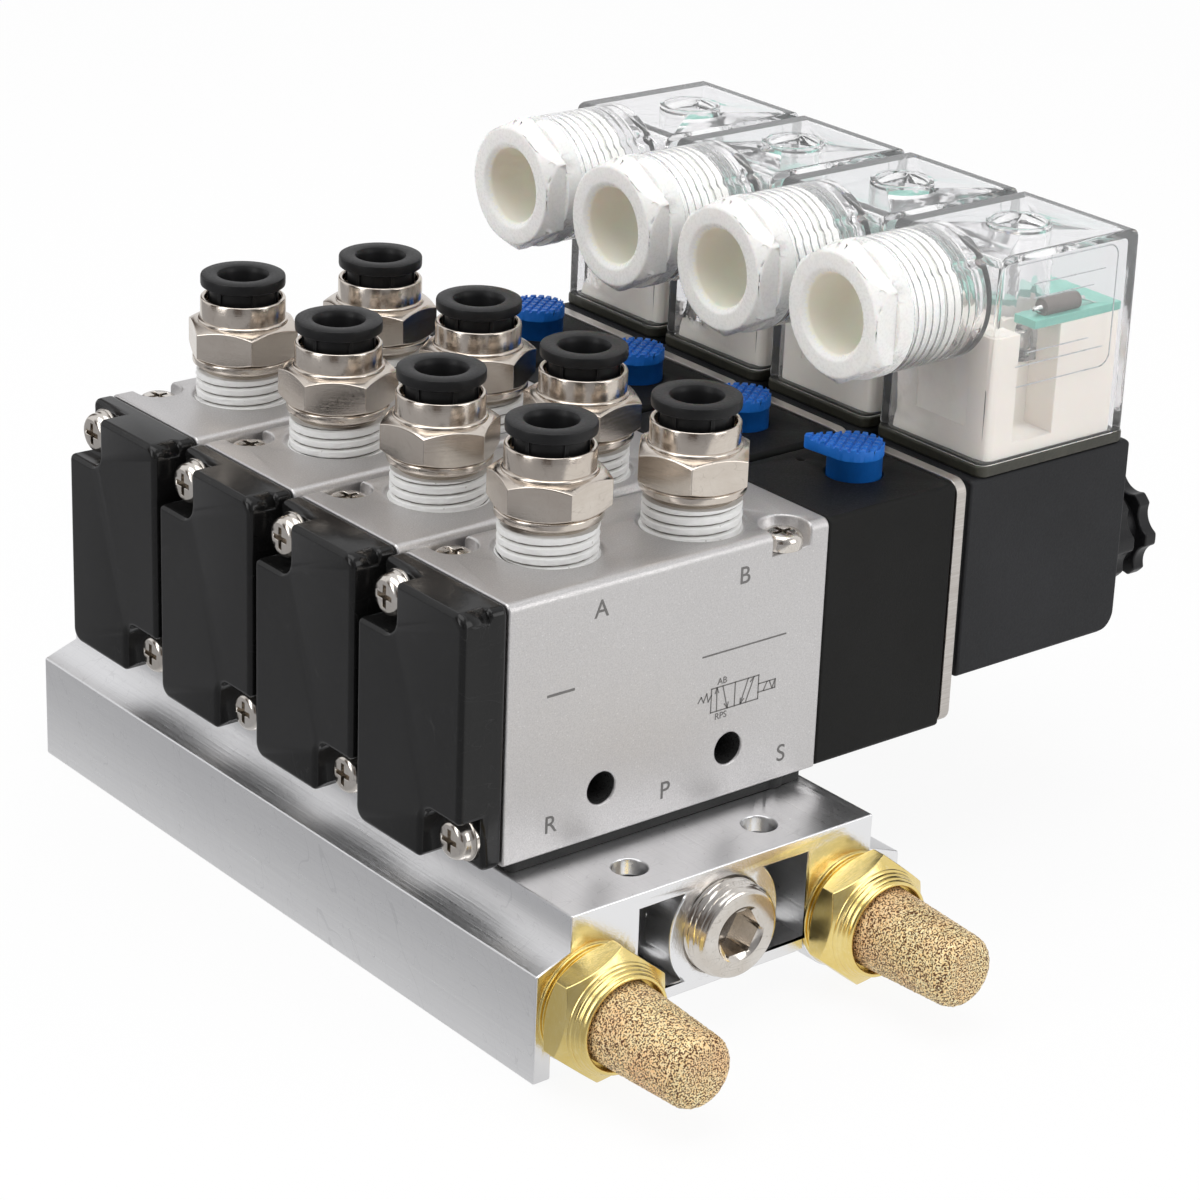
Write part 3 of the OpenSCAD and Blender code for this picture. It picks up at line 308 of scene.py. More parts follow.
print("finishes so far:", len(bpy.data.materials))

# %% [markdown]
# ## Plastics and rubber
# The end caps are glossy black with a slight orange peel, the pilot blocks and
# coils matt with a fine spark texture, and the release rings in between. The
# nylon nuts let light in a little way, which subsurface scattering gives.

# %% Plastic and rubber finishes
black_gloss = finish(
    "black gloss moulding", [(0.006, 0.006, 0.006), (0.010, 0.010, 0.010)], (0.14, 0.22), 0.0, (1500.0, 40.0),
    0.006, scratch=(60.0, 0.0015, 0.15, (0.08, 0.08, 0.08)), edge=(0.16, 0.6, (0.30, 0.30, 0.31)),
    Specular_IOR_Level=0.32)
black_matt = finish(
    "black matt moulding", [(0.008, 0.008, 0.0075), (0.012, 0.012, 0.0115)], (0.42, 0.6), 0.0, (5000.0, 40.0),
    0.012, speck_and_glint=(1100.0, 0.05, 0.3, (0.16, 0.16, 0.16)), edge=(0.35, 0.35, (0.09, 0.09, 0.09)),
    Specular_IOR_Level=0.14)
coil_resin = finish(
    "coil resin", [(0.013, 0.0135, 0.015), (0.019, 0.0195, 0.022)], (0.45, 0.62), 0.0, (3500.0, 50.0), 0.014,
    speck_and_glint=(1100.0, 0.05, 0.3, (0.16, 0.16, 0.17)), edge=(0.35, 0.3, (0.09, 0.09, 0.10)),
    Specular_IOR_Level=0.25)
knob_black = finish(
    "knob black", [(0.008, 0.008, 0.009), (0.014, 0.014, 0.015)], (0.3, 0.45), 0.0, (3000.0, 70.0), 0.008,
    edge=(0.2, 0.3, (0.09, 0.09, 0.09)), Specular_IOR_Level=0.3)
ring_black = finish(
    "release ring black", [(0.007, 0.007, 0.0075), (0.012, 0.012, 0.0125)], (0.34, 0.5), 0.0, (2600.0, 160.0),
    0.008, speck_and_glint=(1500.0, 0.06, 0.3, (0.15, 0.15, 0.15)), edge=(0.2, 0.3, (0.10, 0.10, 0.10)),
    Specular_IOR_Level=0.25)
gasket_rubber = finish(
    "gasket rubber", [(0.02, 0.02, 0.02), (0.032, 0.032, 0.031)], (0.6, 0.8), 0.0, (2500.0, 200.0), 0.02)
seal_rubber = finish(
    "seal rubber", [(0.03, 0.03, 0.022), (0.05, 0.048, 0.034)], (0.35, 0.55), 0.0, (1500.0, 220.0), 0.03,
    edge=(0.3, 0.5, (0.16, 0.15, 0.12)))
bush_rubber = finish(
    "bush rubber", [(0.88, 0.87, 0.83), (0.82, 0.81, 0.77)], (0.5, 0.7), 0.0, (2500.0, 200.0), 0.01)
blue_moulding = finish(
    "blue moulding", [(0.010, 0.17, 0.70), (0.014, 0.21, 0.78)], (0.32, 0.48), 0.0, (3500.0, 300.0), 0.01,
    edge=(0.15, 0.35, (0.10, 0.38, 0.90)))
ivory_moulding = finish(
    "ivory moulding", [(0.88, 0.82, 0.75), (0.83, 0.77, 0.70)], (0.35, 0.5), 0.0, (3500.0, 90.0), 0.006,
    edge=(0.25, 0.5, (0.93, 0.9, 0.84)), Subsurface_Weight=0.12, Subsurface_Scale=0.002)
white_nylon = finish(
    "white nylon", [(0.95, 0.945, 0.92), (0.93, 0.925, 0.895)], (0.22, 0.34), 0.0, (2500.0, 110.0), 0.006,
    Subsurface_Weight=0.15, Subsurface_Scale=0.002)
nylon_bore = finish(
    "nylon bore", [(0.96, 0.94, 0.84), (0.94, 0.91, 0.79)], (0.3, 0.45), 0.0, (2500.0, 110.0), 0.006,
    Subsurface_Weight=0.35, Subsurface_Scale=0.003)
print("finishes so far:", len(bpy.data.materials))

# %% [markdown]
# ## Clear polycarbonate
# The covers are real shells in the CAD model, so plain refraction shows their
# walls, rims and thread. Glass stops lamp light in a path tracer, and the
# ivory base inside would go dark, so shadow rays pass through a transparent
# shader instead. Its roughness drifts a little, as on a moulded part.

# %% Clear polycarbonate
clear_moulding = bpy.data.materials.new("clear moulding")
clear_moulding.use_nodes = True
tree = clear_moulding.node_tree
shader = tree.nodes["Principled BSDF"]
shader.inputs["Base Color"].default_value = (0.985, 0.98, 0.985, 1.0)
shader.inputs["Transmission Weight"].default_value = 0.95
shader.inputs["IOR"].default_value = 1.38
masks = use_group(tree, grain_group, {"Fine scale": 1200.0, "Broad scale": 120.0})
tree.links.new(spread(tree, masks["Broad"], 0, 1, 0.0, 0.05), shader.inputs["Roughness"])
flow = figure(tree, "MULTIPLY", masks["Broad"], 0.03 * mm)
tree.links.new(put(tree, "Bump", {"Height": flow, "Distance": 1.0}).outputs[0], shader.inputs["Normal"])
shadow = put(tree, "LightPath").outputs["Is Shadow Ray"]
open_way = put(tree, "BsdfTransparent", {"Color": (0.9, 0.92, 0.92, 1.0)})
either = put(tree, "MixShader", {0: shadow, 1: shader.outputs[0], 2: open_way.outputs[0]})
tree.links.new(either.outputs[0], tree.nodes["Material Output"].inputs["Surface"])
print("clear moulding: index", round(shader.inputs["IOR"].default_value, 2))

# %% [markdown]
# ## Sintered bronze
# The silencer elements are small bronze balls fused together. A Voronoi texture gives each cell of a quarter of a
# millimetre its own tone, as the balls have, and a noise of the same scale sinks the pores and paints them dark
# brown, painted shade in the hollows between the balls.

# %% Sintered bronze
sintered_bronze = bpy.data.materials.new("sintered bronze")
sintered_bronze.use_nodes = True
tree = sintered_bronze.node_tree
shader = tree.nodes["Principled BSDF"]
shader.inputs["Metallic"].default_value = 0.2
place = put(tree, "TexCoord").outputs["Object"]
cells_per_metre = 4400.0
cells = put(tree, "TexVoronoi", {"Vector": place, "Scale": cells_per_metre})
tone = put(tree, "SeparateColor", {0: cells.outputs["Color"]}).outputs[0]
pores = {"Vector": place, "Scale": cells_per_metre, "Detail": 1.0, "Roughness": 0.5}
speckle = put(tree, "TexNoise", pores).outputs[0]
redder = put(tree, "TexNoise", {"Vector": place, "Scale": 150.0, "Detail": 2.0}).outputs[0]
ball = mix_colour(tree, tone, (1.0, 0.89, 0.54), (1.0, 0.70, 0.32))
ball = mix_colour(tree, spread(tree, redder, 0.42, 0.70, 0.0, 0.5), ball, (0.97, 0.53, 0.27))
grain = spread(tree, speckle, 0.44, 0.49)
# The dark brown of the pores is painted shade.
tree.links.new(mix_colour(tree, grain, (0.13, 0.05, 0.015), ball), shader.inputs["Base Color"])
tree.links.new(spread(tree, tone, 0, 1, 0.35, 0.55), shader.inputs["Roughness"])
lump = figure(tree, "MULTIPLY", grain, 0.10 * mm)
tree.links.new(put(tree, "Bump", {"Height": lump, "Distance": 1.0}).outputs[0], shader.inputs["Normal"])
print("sintered bronze: cells of", round(1000 / cells_per_metre, 2), "mm")

# %% [markdown]
# ## Sealant, board and marks
# The fitting threads come from the maker with a white sealant coat that fills all but the thread's sharp valleys. The
# mesh stores how deep a point lies in its valley, and the finish paints the deep part and the bore dark brown as
# painted shade.

# %% Sealant, board and marks
thread_sealant = finish(
    "thread sealant", [(0.93, 0.93, 0.92), (0.87, 0.87, 0.85)], (0.5, 0.7), 0.0, (1600.0, 500.0), 0.05,
    speck_and_glint=(1100.0, 0.24, 0.5, (0.45, 0.42, 0.38)))
tree = thread_sealant.node_tree
shader = tree.nodes["Principled BSDF"]
valley = put(tree, "Attribute", attribute_name="valley").outputs["Fac"]
coat = shader.inputs["Base Color"].links[0].from_socket
# Painted shade: the deep valleys and the bore turn dark brown.
tree.links.new(mix_colour(tree, spread(tree, valley, 0.55, 0.9), coat, (0.16, 0.14, 0.12)),
               shader.inputs["Base Color"])

board_green = finish(
    "board green", [(0.13, 0.42, 0.34), (0.20, 0.52, 0.43)], (0.3, 0.45), 0.0, (1500.0, 300.0), 0.006,
    Coat_Weight=0.3)
mark_grey = finish(
    "mark grey", [(0.16, 0.155, 0.15), (0.21, 0.205, 0.20)], (0.5, 0.6), 0.3, (5000.0, 400.0), 0.002)
# A painted glint: this grey stands for the light caught by the edges of the clear ribs on the covers.
rib_glint_grey = finish(
    "rib glint grey", [(0.50, 0.51, 0.53), (0.62, 0.63, 0.65)], (0.2, 0.4), 0.3, (3000.0, 900.0), 0.002)
dark_resin = finish(
    "dark resin", [(0.10, 0.085, 0.075), (0.14, 0.12, 0.105)], (0.3, 0.45), 0.0, (3000.0, 300.0), 0.004)
tinned_wire = finish(
    "tinned wire", [(0.75, 0.75, 0.74), (0.66, 0.66, 0.65)], (0.15, 0.3), 1.0, (3000.0, 300.0), 0.004)
print("finishes in all:", len(bpy.data.materials))

# %% [markdown]
# ## Rolled edges on the CAD shapes
# A moulded or machined edge is never perfectly sharp: it catches a thin line
# of light. The CAD mesh stays as it is, and a copy takes its place. The copy's
# flat facets are joined, large faces are split again into convex ones, every
# outer edge sharper than the limit gets a bevel weight, and a Bevel modifier
# rolls those edges.

# %% Copy with rolled edges
def register(piece, slot, *nodes, body=None):
    """Rides on the nodes' own body and stands for the nodes. The slot is not used."""
    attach(piece, body or body_of_node[nodes[0]])
    if nodes:
        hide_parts(*nodes)
    return piece


def add_piece(name, mesh_data, *materials, smooth=32):
    if isinstance(mesh_data, bmesh.types.BMesh):
        mesh = bpy.data.meshes.new(name)
        mesh_data.normal_update()
        mesh_data.to_mesh(mesh)
        mesh_data.free()
    else:
        mesh = mesh_data
    for material in materials:
        mesh.materials.append(material)
    mesh.shade_smooth()
    mesh.set_sharp_from_angle(angle=math.radians(smooth))
    piece = bpy.data.objects.new(name, mesh)
    bpy.context.scene.collection.objects.link(piece)
    return piece


def roll_edges(piece, width, segments=2, angle=32, above=-1.0):
    """Rolls the outer edges sharper than angle that lie above a height in metres."""
    bevel = piece.modifiers.new("rolled edges", "BEVEL")
    bevel.width = width * mm
    bevel.segments = segments
    bevel.limit_method = "WEIGHT"
    bevel.harden_normals = True
    bevel.use_clamp_overlap = False
    bevel.loop_slide = False
    outer = bmesh.new()
    outer.from_mesh(piece.data)
    weight = outer.edges.layers.float.new("bevel_weight_edge")
    for edge in outer.edges:
        high_enough = min(corner.co.z for corner in edge.verts) > above
        if high_enough and edge.is_manifold and edge.is_convex and edge.calc_face_angle() > math.radians(angle):
            edge[weight] = 1.0
    outer.to_mesh(piece.data)
    outer.free()
    return piece


def clean_copy(node, split=True):
    copy = bmesh.new()
    copy.from_mesh(frame["nodes"][node].data)
    bmesh.ops.remove_doubles(copy, verts=copy.verts, dist=0.002 * mm)
    bmesh.ops.dissolve_limit(copy, angle_limit=math.radians(0.7), verts=copy.verts, edges=copy.edges)
    if split:
        bmesh.ops.connect_verts_concave(copy, faces=[face for face in copy.faces if len(face.verts) > 12])
    for face in copy.faces:
        face.material_index = 0
    return copy


def soft_copy(node, name, slot, material, width, segments=2, above=-1.0, split=True):
    piece = add_piece(name, clean_copy(node, split), material)
    roll_edges(piece, width, segments, above=above)
    return register(piece, slot, node)


# %% Manifold, gaskets and valve bodies
soft_copy("manifold", "manifold_extrusion", "anodised_aluminium", drawn_aluminium, 0.25)
gaskets = clean_copy("valve_gaskets")
screw_end, screw_side, lug_r, sheet_t = 6.3 * mm, 2.1 * mm, 1.95 * mm, 1.5 * mm
for n in stations:
    low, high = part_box(f"valve_body_{n}")
    for corner_x, corner_y in ((high.x - screw_end, low.y + screw_side), (low.x + screw_end, high.y - screw_side)):
        lug = Matrix.Translation((corner_x, corner_y, low.z - sheet_t / 2))
        bmesh.ops.create_cone(gaskets, cap_ends=True, segments=32, radius1=lug_r, radius2=lug_r, depth=sheet_t,
                              matrix=lug)
register(roll_edges(add_piece("gasket_sheets", gaskets, gasket_rubber), 0.15), "gasket_rubber", "valve_gaskets")

hole_x, hole_z, hole_r = 10.5 * mm, 6.85 * mm, 2.2 * mm
for n in stations:
    body = clean_copy(f"valve_body_{n}")
    low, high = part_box(f"valve_body_{n}")
    for face in body.faces:
        centre = face.calc_center_median()
        reach = math.hypot(abs(centre.x - (low.x + high.x) / 2) - hole_x, centre.z - low.z - hole_z)
        face.material_index = int(abs(face.normal.y) < 0.1 and reach < hole_r + 0.1 * mm)
    blasted = roll_edges(add_piece(f"blasted_body_{n}", body, blasted_aluminium, hole_shadow), 0.3)
    blasted.modifiers["rolled edges"].material = 0
    register(blasted, "blasted_aluminium", f"valve_body_{n}")

# %% Black mouldings, plates and rubber seals
soft_copy("end_caps", "glossy_end_caps", "black_cap_plastic", black_gloss, 0.8, 4)
soft_copy("pilot_blocks", "matt_pilot_blocks", "black_pilot_plastic", black_matt, 0.45, 3)
soft_copy("yoke_plates", "sheared_yoke_plates", "plated_steel", plated_steel, 0.12)
soft_copy("connector_seals", "plug_seals", "seal_rubber", seal_rubber, 0.4, 3)
for n in stations:
    soft_copy(f"solenoid_coil_{n}", f"coil_moulding_{n}", "coil_resin", coil_resin, 0.4, 3)
    soft_copy(f"coil_nut_{n}", f"scalloped_nut_{n}", "knob_black", knob_black, 0.3, 3)
    soft_copy(f"override_{n}", f"ribbed_button_{n}", "button_blue", blue_moulding, 0.12)

# %% Screws and plugs
for node in ("cap_screws", "body_screws", "connector_screws"):
    soft_copy(node, node.replace("screws", "screw_heads"), "screw_steel", bright_nickel, 0.08)

# %% [markdown]
# ## Connector
# Each plug is a clear shell over an ivory base, with a small board above it.
# The base and shell keep their CAD shapes, but the block under the board ends
# a little lower, as in the photo. The nylon nut's bore is warmer than its
# outside, so its faces near the axis get their own finish.

# %% Base, cover and nut
block_drop, nut_bore = 1.3 * mm, 5.5 * mm
bases = clean_copy("connector_bases")
block_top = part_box("connector_bases")[1].z
bmesh.ops.translate(bases, verts=[corner for corner in bases.verts if corner.co.z > block_top - 0.2 * mm],
                    vec=(0, 0, -block_drop))
register(roll_edges(add_piece("ivory_bases", bases, ivory_moulding), 0.15), "ivory_plastic", "connector_bases")
for n in stations:
    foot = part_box(f"connector_cover_{n}")[0].z + 0.5 * mm
    soft_copy(f"connector_cover_{n}", f"clear_cover_{n}", "clear_polycarbonate", clear_moulding, 0.2, above=foot,
              split=False)
    nut = clean_copy(f"gland_nut_{n}")
    low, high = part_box(f"gland_nut_{n}")
    axis_y, axis_z = (low.y + high.y) / 2, (low.z + high.z) / 2
    for face in nut.faces:
        centre = face.calc_center_median()
        face.material_index = int(math.hypot(centre.y - axis_y, centre.z - axis_z) < nut_bore)
    register(roll_edges(add_piece(f"nylon_nut_{n}", nut, white_nylon, nylon_bore), 0.25, 3), "white_nylon",
             f"gland_nut_{n}")
print("clear covers:", len(stations))

# %% [markdown]
# ## Turned shapes
# Fittings, rings and silencers are lathe work. `spin` turns a profile of
# (radius, height) points into a mesh. `hexagon` makes a nut whose corners are
# cut by a cone, as a lathe does, so the flats end in curved lines.

# %% Lathe tools
round_steps = 96


def spin(mesh, profile, closed=False, steps=round_steps, radius_at=None):
    """Turns the profile about Z. The ends on the axis close by themselves."""
    rings = []
    for r, z in profile:
        if r < 1e-9:
            rings.append([mesh.verts.new((0, 0, z * mm))])
            continue
        ring = []
        for k in range(steps):
            a = 2 * math.pi * k / steps
            reach = radius_at(r, z, a) if radius_at else r
            ring.append(mesh.verts.new((reach * mm * math.cos(a), reach * mm * math.sin(a), z * mm)))
        rings.append(ring)
    pairs = list(zip(rings, rings[1:] + rings[:1] if closed else rings[1:]))
    faces = []
    for low, high in pairs:
        for k in range(steps):
            j = (k + 1) % steps
            corners = [low[k % len(low)], low[j % len(low)], high[j % len(high)], high[k % len(high)]]
            faces.append(mesh.faces.new(list(dict.fromkeys(corners))))
    return faces


def hexagon(mesh, across, z0, z1, clock=0.0, inner=0.0, crown=0.35, slope=0.55):
    """Hexagonal nut about Z whose corners are cut by a cone at both ends."""
    flat = across / 2 - crown
    ends = [(inner, z0, 0), (flat, z0, 0), (flat, z0, 1), (flat, z1, -1), (flat, z1, 0), (inner, z1, 0)]
    rings = []
    for r, z, way in ends:
        ring = []
        for k in range(round_steps):
            a = 2 * math.pi * k / round_steps
            reach = across / 2 / math.cos((a % (math.pi / 3)) - math.pi / 6) if way else r
            rise = way * (reach - flat) * slope
            ring.append(mesh.verts.new((reach * mm * math.cos(a + clock), reach * mm * math.sin(a + clock),
                                        (z + rise) * mm)))
        rings.append(ring)
    for low, high in zip(rings, rings[1:] + rings[:1]):
        for k in range(round_steps):
            j = (k + 1) % round_steps
            mesh.faces.new((low[k], low[j], high[j], high[k]))


def thread_depth(z, angle, pitch, sharp=0.5):
    """0 on a thread's crest and 1 in its valley, which a small value of sharp makes narrower."""
    phase = (z / pitch - angle / (2 * math.pi)) % 1.0
    return max(0.0, 1.0 - abs(phase - 0.5) / (0.5 * sharp))


# %% [markdown]
# ## Push-in fittings
# Each fitting has a sealed thread, a neck with a flange, a hexagon, and a
# collar that holds a black gripping ring. The hexagons stop at different
# angles when the threads are tight, so every fitting is clocked in its own way.

# %% Fitting bodies
fitting_clock = {"a": (12, 38, 22, 5), "b": (48, 8, 30, 18)}
thread_r, thread_pitch, bore_r, valley_width = 6.5, 1.337, 3.1, 0.42
seat_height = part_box("valve_body_1")[1].z


def fitting_axis(port, n):
    low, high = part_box(f"release_ring_{port}{n}")
    return Vector(((low.x + high.x) / 2, (low.y + high.y) / 2, seat_height))


def sealed_thread(low, high, rows):
    mesh = bmesh.new()
    depth_layer = mesh.verts.layers.float.new("valley")
    wall = [(thread_r, low + (high - low) * i / rows) for i in range(rows + 1)]
    profile = [(bore_r, low)] + wall + [(bore_r, high)]

    def coated(r, z, a):
        if r < thread_r:
            return r
        lump = noise.noise(Vector((math.cos(a) * 9, math.sin(a) * 9, z * 2.2))) * 0.10
        return r - 0.55 * thread_depth(z, a, thread_pitch, valley_width) + lump

    spin(mesh, profile, True, radius_at=coated)
    spin(mesh, [(6.2, low - 0.2), (6.6, low - 0.2), (6.93, low - 0.26), (6.6, low + 0.2)], True)
    for vertex in mesh.verts:
        z = vertex.co.z / mm
        angle = math.atan2(vertex.co.y, vertex.co.x) % (2 * math.pi)
        reach = math.hypot(vertex.co.x, vertex.co.y) / mm
        outside = thread_depth(z, angle, thread_pitch, valley_width) if z > low else 0.0
        # The bore counts as fully deep, so it gets the painted shade too.
        vertex[depth_layer] = 1.0 if reach < 5 else outside
    return mesh


def fitting_metal(clock):
    mesh = bmesh.new()
    spin(mesh, [
        (bore_r, 3.5), (5.55, 3.5), (5.55, 3.95), (5.75, 4.15), (5.75, 4.45), (6.35, 4.55),
        (6.95, 4.75), (7.0, 4.95), (7.0, 5.6), (6.85, 5.8), (bore_r, 5.8)], True)
    hexagon(mesh, 14, 5.75, 10.7, math.radians(clock), bore_r)
    spin(mesh, [
        (4.7, 10.5), (6.25, 10.5), (6.25, 10.95), (6.1, 11.1), (5.9, 11.15), (5.9, 13.8), (5.78, 14.05),
        (5.5, 14.1), (5.3, 13.95), (5.25, 13.6), (5.25, 11.2), (4.7, 11.2)], True)
    return mesh


for port in "ab":
    for n, clock in zip(stations, fitting_clock[port]):
        place = Matrix.Translation(fitting_axis(port, n))
        metal = add_piece(f"fitting_{port}{n}", fitting_metal(clock), nickel_plate)
        metal.data.transform(place)
        roll_edges(metal, 0.12)
        coat = add_piece(f"sealed_thread_{port}{n}", sealed_thread(-0.5, 3.72, 46), thread_sealant, smooth=60)
        coat.data.transform(Matrix.Rotation(math.radians(clock * 7), 4, "Z"))
        coat.data.transform(place)
        for piece in (metal, coat):
            register(piece, "nickel_plate", body="valve_row")
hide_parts("fitting_bodies")
print("fittings:", 2 * len(stations), "seat at", round(seat_height / mm, 2), "mm")

# %% Release rings
ring_rise = 1.7 * mm


def release_ring():
    mesh = bmesh.new()
    spin(mesh, [
        (3.15, -5.2), (4.6, -5.2), (4.6, 0.0), (4.75, 0.1), (5.6, 0.12), (5.8, 0.25), (5.85, 0.5),
        (5.85, 1.4), (5.78, 1.6), (5.6, 1.7), (3.85, 1.7), (3.6, 1.62), (3.4, 1.35), (3.2, 0.8)], True)
    for k in range(6):
        a = math.radians(60 * k + 15)
        matrix = Matrix.Rotation(a, 4, "Z") @ Matrix.Translation((4.72 * mm, 0, -1.2 * mm))
        bmesh.ops.create_cube(mesh, size=1.0, matrix=matrix @ Matrix.Diagonal((0.35 * mm, 0.5 * mm, 2.3 * mm, 1)))
    return mesh


for port in "ab":
    for n in stations:
        low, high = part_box(f"release_ring_{port}{n}")
        ring = add_piece(f"gripping_ring_{port}{n}", release_ring(), ring_black)
        ring.data.transform(Matrix.Translation(((low.x + high.x) / 2, (low.y + high.y) / 2, high.z - ring_rise)))
        register(ring, "ring_black", f"release_ring_{port}{n}")
print("release rings at", round(high.z / mm, 1), "mm")

# %% [markdown]
# ## Silencers
# The brass body is a turned hexagon with a lip, and the sintered element sits
# in its recess. Cells like those that colour the element also push its surface
# in and out, so its outline is grainy too.

# %% Silencers
cone_r = 5.65 * mm


def silencer_place(index):
    low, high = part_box("silencer_elements")
    x = high.x - cone_r if index else low.x + cone_r
    z = (low.z + high.z) / 2
    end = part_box("manifold")[0].y
    return Matrix.Translation((x, end, z)) @ Matrix.Rotation(math.radians(90), 4, "X")


def silencer_brass():
    mesh = bmesh.new()
    spin(mesh, [
        (4, 0.0), (7.95, 0.0), (7.95, 0.25), (7.5, 0.38), (7.5, 0.46), (7.9, 0.58), (7.9, 0.8),
        (7.3, 0.95), (7.3, 1.1), (4, 1.1)], True)
    hexagon(mesh, 16, 0.95, 5.4, math.radians(20), 4, 0.5, 0.7)
    spin(mesh, [
        (4, 5.3), (7.7, 5.3), (7.6, 5.6), (7.35, 5.75), (7.3, 6.15), (7.1, 6.3), (7.0, 6.75),
        (6.8, 6.9), (6.75, 7.3), (6.6, 7.5), (6.4, 7.6), (6.2, 7.6), (6.1, 7.4), (6.05, 5.6), (4, 5.6)], True)
    return mesh


def sintered_cone():
    mesh = bmesh.new()
    foot, tip, root_r, tip_r, turn_r = 5.5, 22.3, 5.7, 4.95, 1.8
    walls = [(root_r + (tip_r - root_r) * i / 70, foot + (tip - turn_r - foot) * i / 70) for i in range(71)]
    dome = [(tip_r - turn_r + turn_r * math.cos(math.radians(a)), tip - turn_r + turn_r * math.sin(math.radians(a)))
            for a in range(9, 91, 9)]
    cap = [(r, tip) for r in (2.7, 2.25, 1.8, 1.35, 0.9, 0.45, 0)]

    def grained(r, z, a):
        spot = Vector((r * math.cos(a), r * math.sin(a), z)) * 2.2
        return r + 0.10 - 0.20 * noise.voronoi(spot)[0][0]

    spin(mesh, [(0, foot)] + walls + dome + cap, steps=144, radius_at=grained)
    return mesh


for index in (0, 1):
    brass = add_piece(f"silencer_hexagon_{index + 1}", silencer_brass(), turned_brass)
    cone = add_piece(f"sintered_cone_{index + 1}", sintered_cone(), sintered_bronze, smooth=80)
    for piece, slot in ((brass, "silencer_brass"), (cone, "sintered_bronze")):
        piece.data.transform(silencer_place(index))
        register(piece, slot, body="valve_row")
    roll_edges(brass, 0.12)
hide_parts("silencer_bodies")
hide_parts("silencer_elements")
print("silencers at", [round(v / mm, 1) for v in silencer_place(0).translation])

# %% [markdown]
# ## Port plugs
# Each plug is a threaded stud with a rounded lip and a socket for a 6 mm key.
# The same `spin` makes it: a radius rule cuts the thread's helix into the
# outside, and another turns the innermost rings into a hexagon.

# %% Port plugs
def socket_plug(low=-7.9, lip=2.5, front=3.4, rows=80):
    mesh = bmesh.new()
    crest, ridge_pitch = 6.5, 1.05

    def shaped(r, z, a):
        if r < 3.1:
            return r / math.cos((a % (math.pi / 3)) - math.pi / 6)
        return r - 0.5 * thread_depth(z, a, ridge_pitch, 0.9) if r == crest else r

    threads = [(crest, low + 0.6 + (lip - low - 0.6) * i / rows) for i in range(rows + 1)]
    lip_round = [(6.25, lip + 0.15), (6.1, front - 0.35), (5.8, front - 0.08), (5.4, front), (3.85, front)]
    socket = [(3.5, front - 0.35), (3.0, front - 0.55), (3.0, front - 4.8), (0, front - 5.2)]
    spin(mesh, [(0, low), (5.8, low)] + threads + lip_round + socket, radius_at=shaped)
    return mesh


manifold_low, manifold_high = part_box("manifold")
exhaust_low, exhaust_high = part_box("silencer_elements")
exhaust_level = (exhaust_low.z + exhaust_high.z) / 2
middle_x, supply_level = (manifold_low.x + manifold_high.x) / 2, 13.4 * mm
plug_places = [(middle_x, manifold_low.y, supply_level, 90),
               (exhaust_low.x + cone_r, manifold_high.y, exhaust_level, -90),
               (exhaust_high.x - cone_r, manifold_high.y, exhaust_level, -90)]
for index, (x, y, z, tilt) in enumerate(plug_places, 1):
    plug = add_piece(f"socket_plug_{index}", socket_plug(), bright_nickel, smooth=40)
    plug.data.transform(Matrix.Translation((x, y, z)) @ Matrix.Rotation(math.radians(tilt), 4, "X"))
    register(plug, "nickel_plate", body="valve_row")
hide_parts("port_plugs")
print("plugs:", len(plug_places))

# %% [markdown]
# ## Circuit boards
# The board is light green and carries one small dark part on bent leads. It
# is blurred by the clear cover, so the CAD shapes do, each in its own colour.
# The part moves a little towards the cable, and the whole board comes down
# with the block under it.

# %% Circuit boards
board_copy = clean_copy("circuit_boards")
board_t, part_reach, part_l, part_shift = 1.25 * mm, 13.4 * mm, 6.5, (-2.5 * mm, 0, -0.4 * mm)
board_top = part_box("circuit_boards")[0].z + board_t
part_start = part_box("connector_cover_1")[1].x - part_reach
for face in board_copy.faces:
    centre = face.calc_center_median()
    along = (centre.x - part_start) / mm
    face.material_index = 0 if centre.z < board_top else 1 if -0.05 < along < part_l + 0.05 else 2
part_corners = [corner for corner in board_copy.verts if corner.co.z > board_top]
bmesh.ops.translate(board_copy, verts=part_corners, vec=part_shift)
bmesh.ops.translate(board_copy, verts=board_copy.verts, vec=(0, 0, -block_drop))
boards = add_piece("green_boards", board_copy, board_green, dark_resin, tinned_wire)
roll_edges(boards, 0.1)
register(boards, "board_green", "circuit_boards")

# %% [markdown]
# ## Marks on the bodies
# The port letters and the symbol of the valve are burnt into the blasted
# face by a laser. Blender's own font makes the letters; they are turned into
# a mesh, stood upright against the face and made a few hundredths thick. The
# symbol is the usual one for a 5-port valve: boxes with flow arrows, a spring
# and a pilot. Its strokes are (x, z, x, z) in millimetres.

# %% Marks
mark_depth = 0.03 * mm
letters = {"A": (-11.57, 31.6), "B": (11.8, 30.7), "R": (-18.6, 3.9), "P": (0.0, 3.6), "S": (19.8, 3.6)}


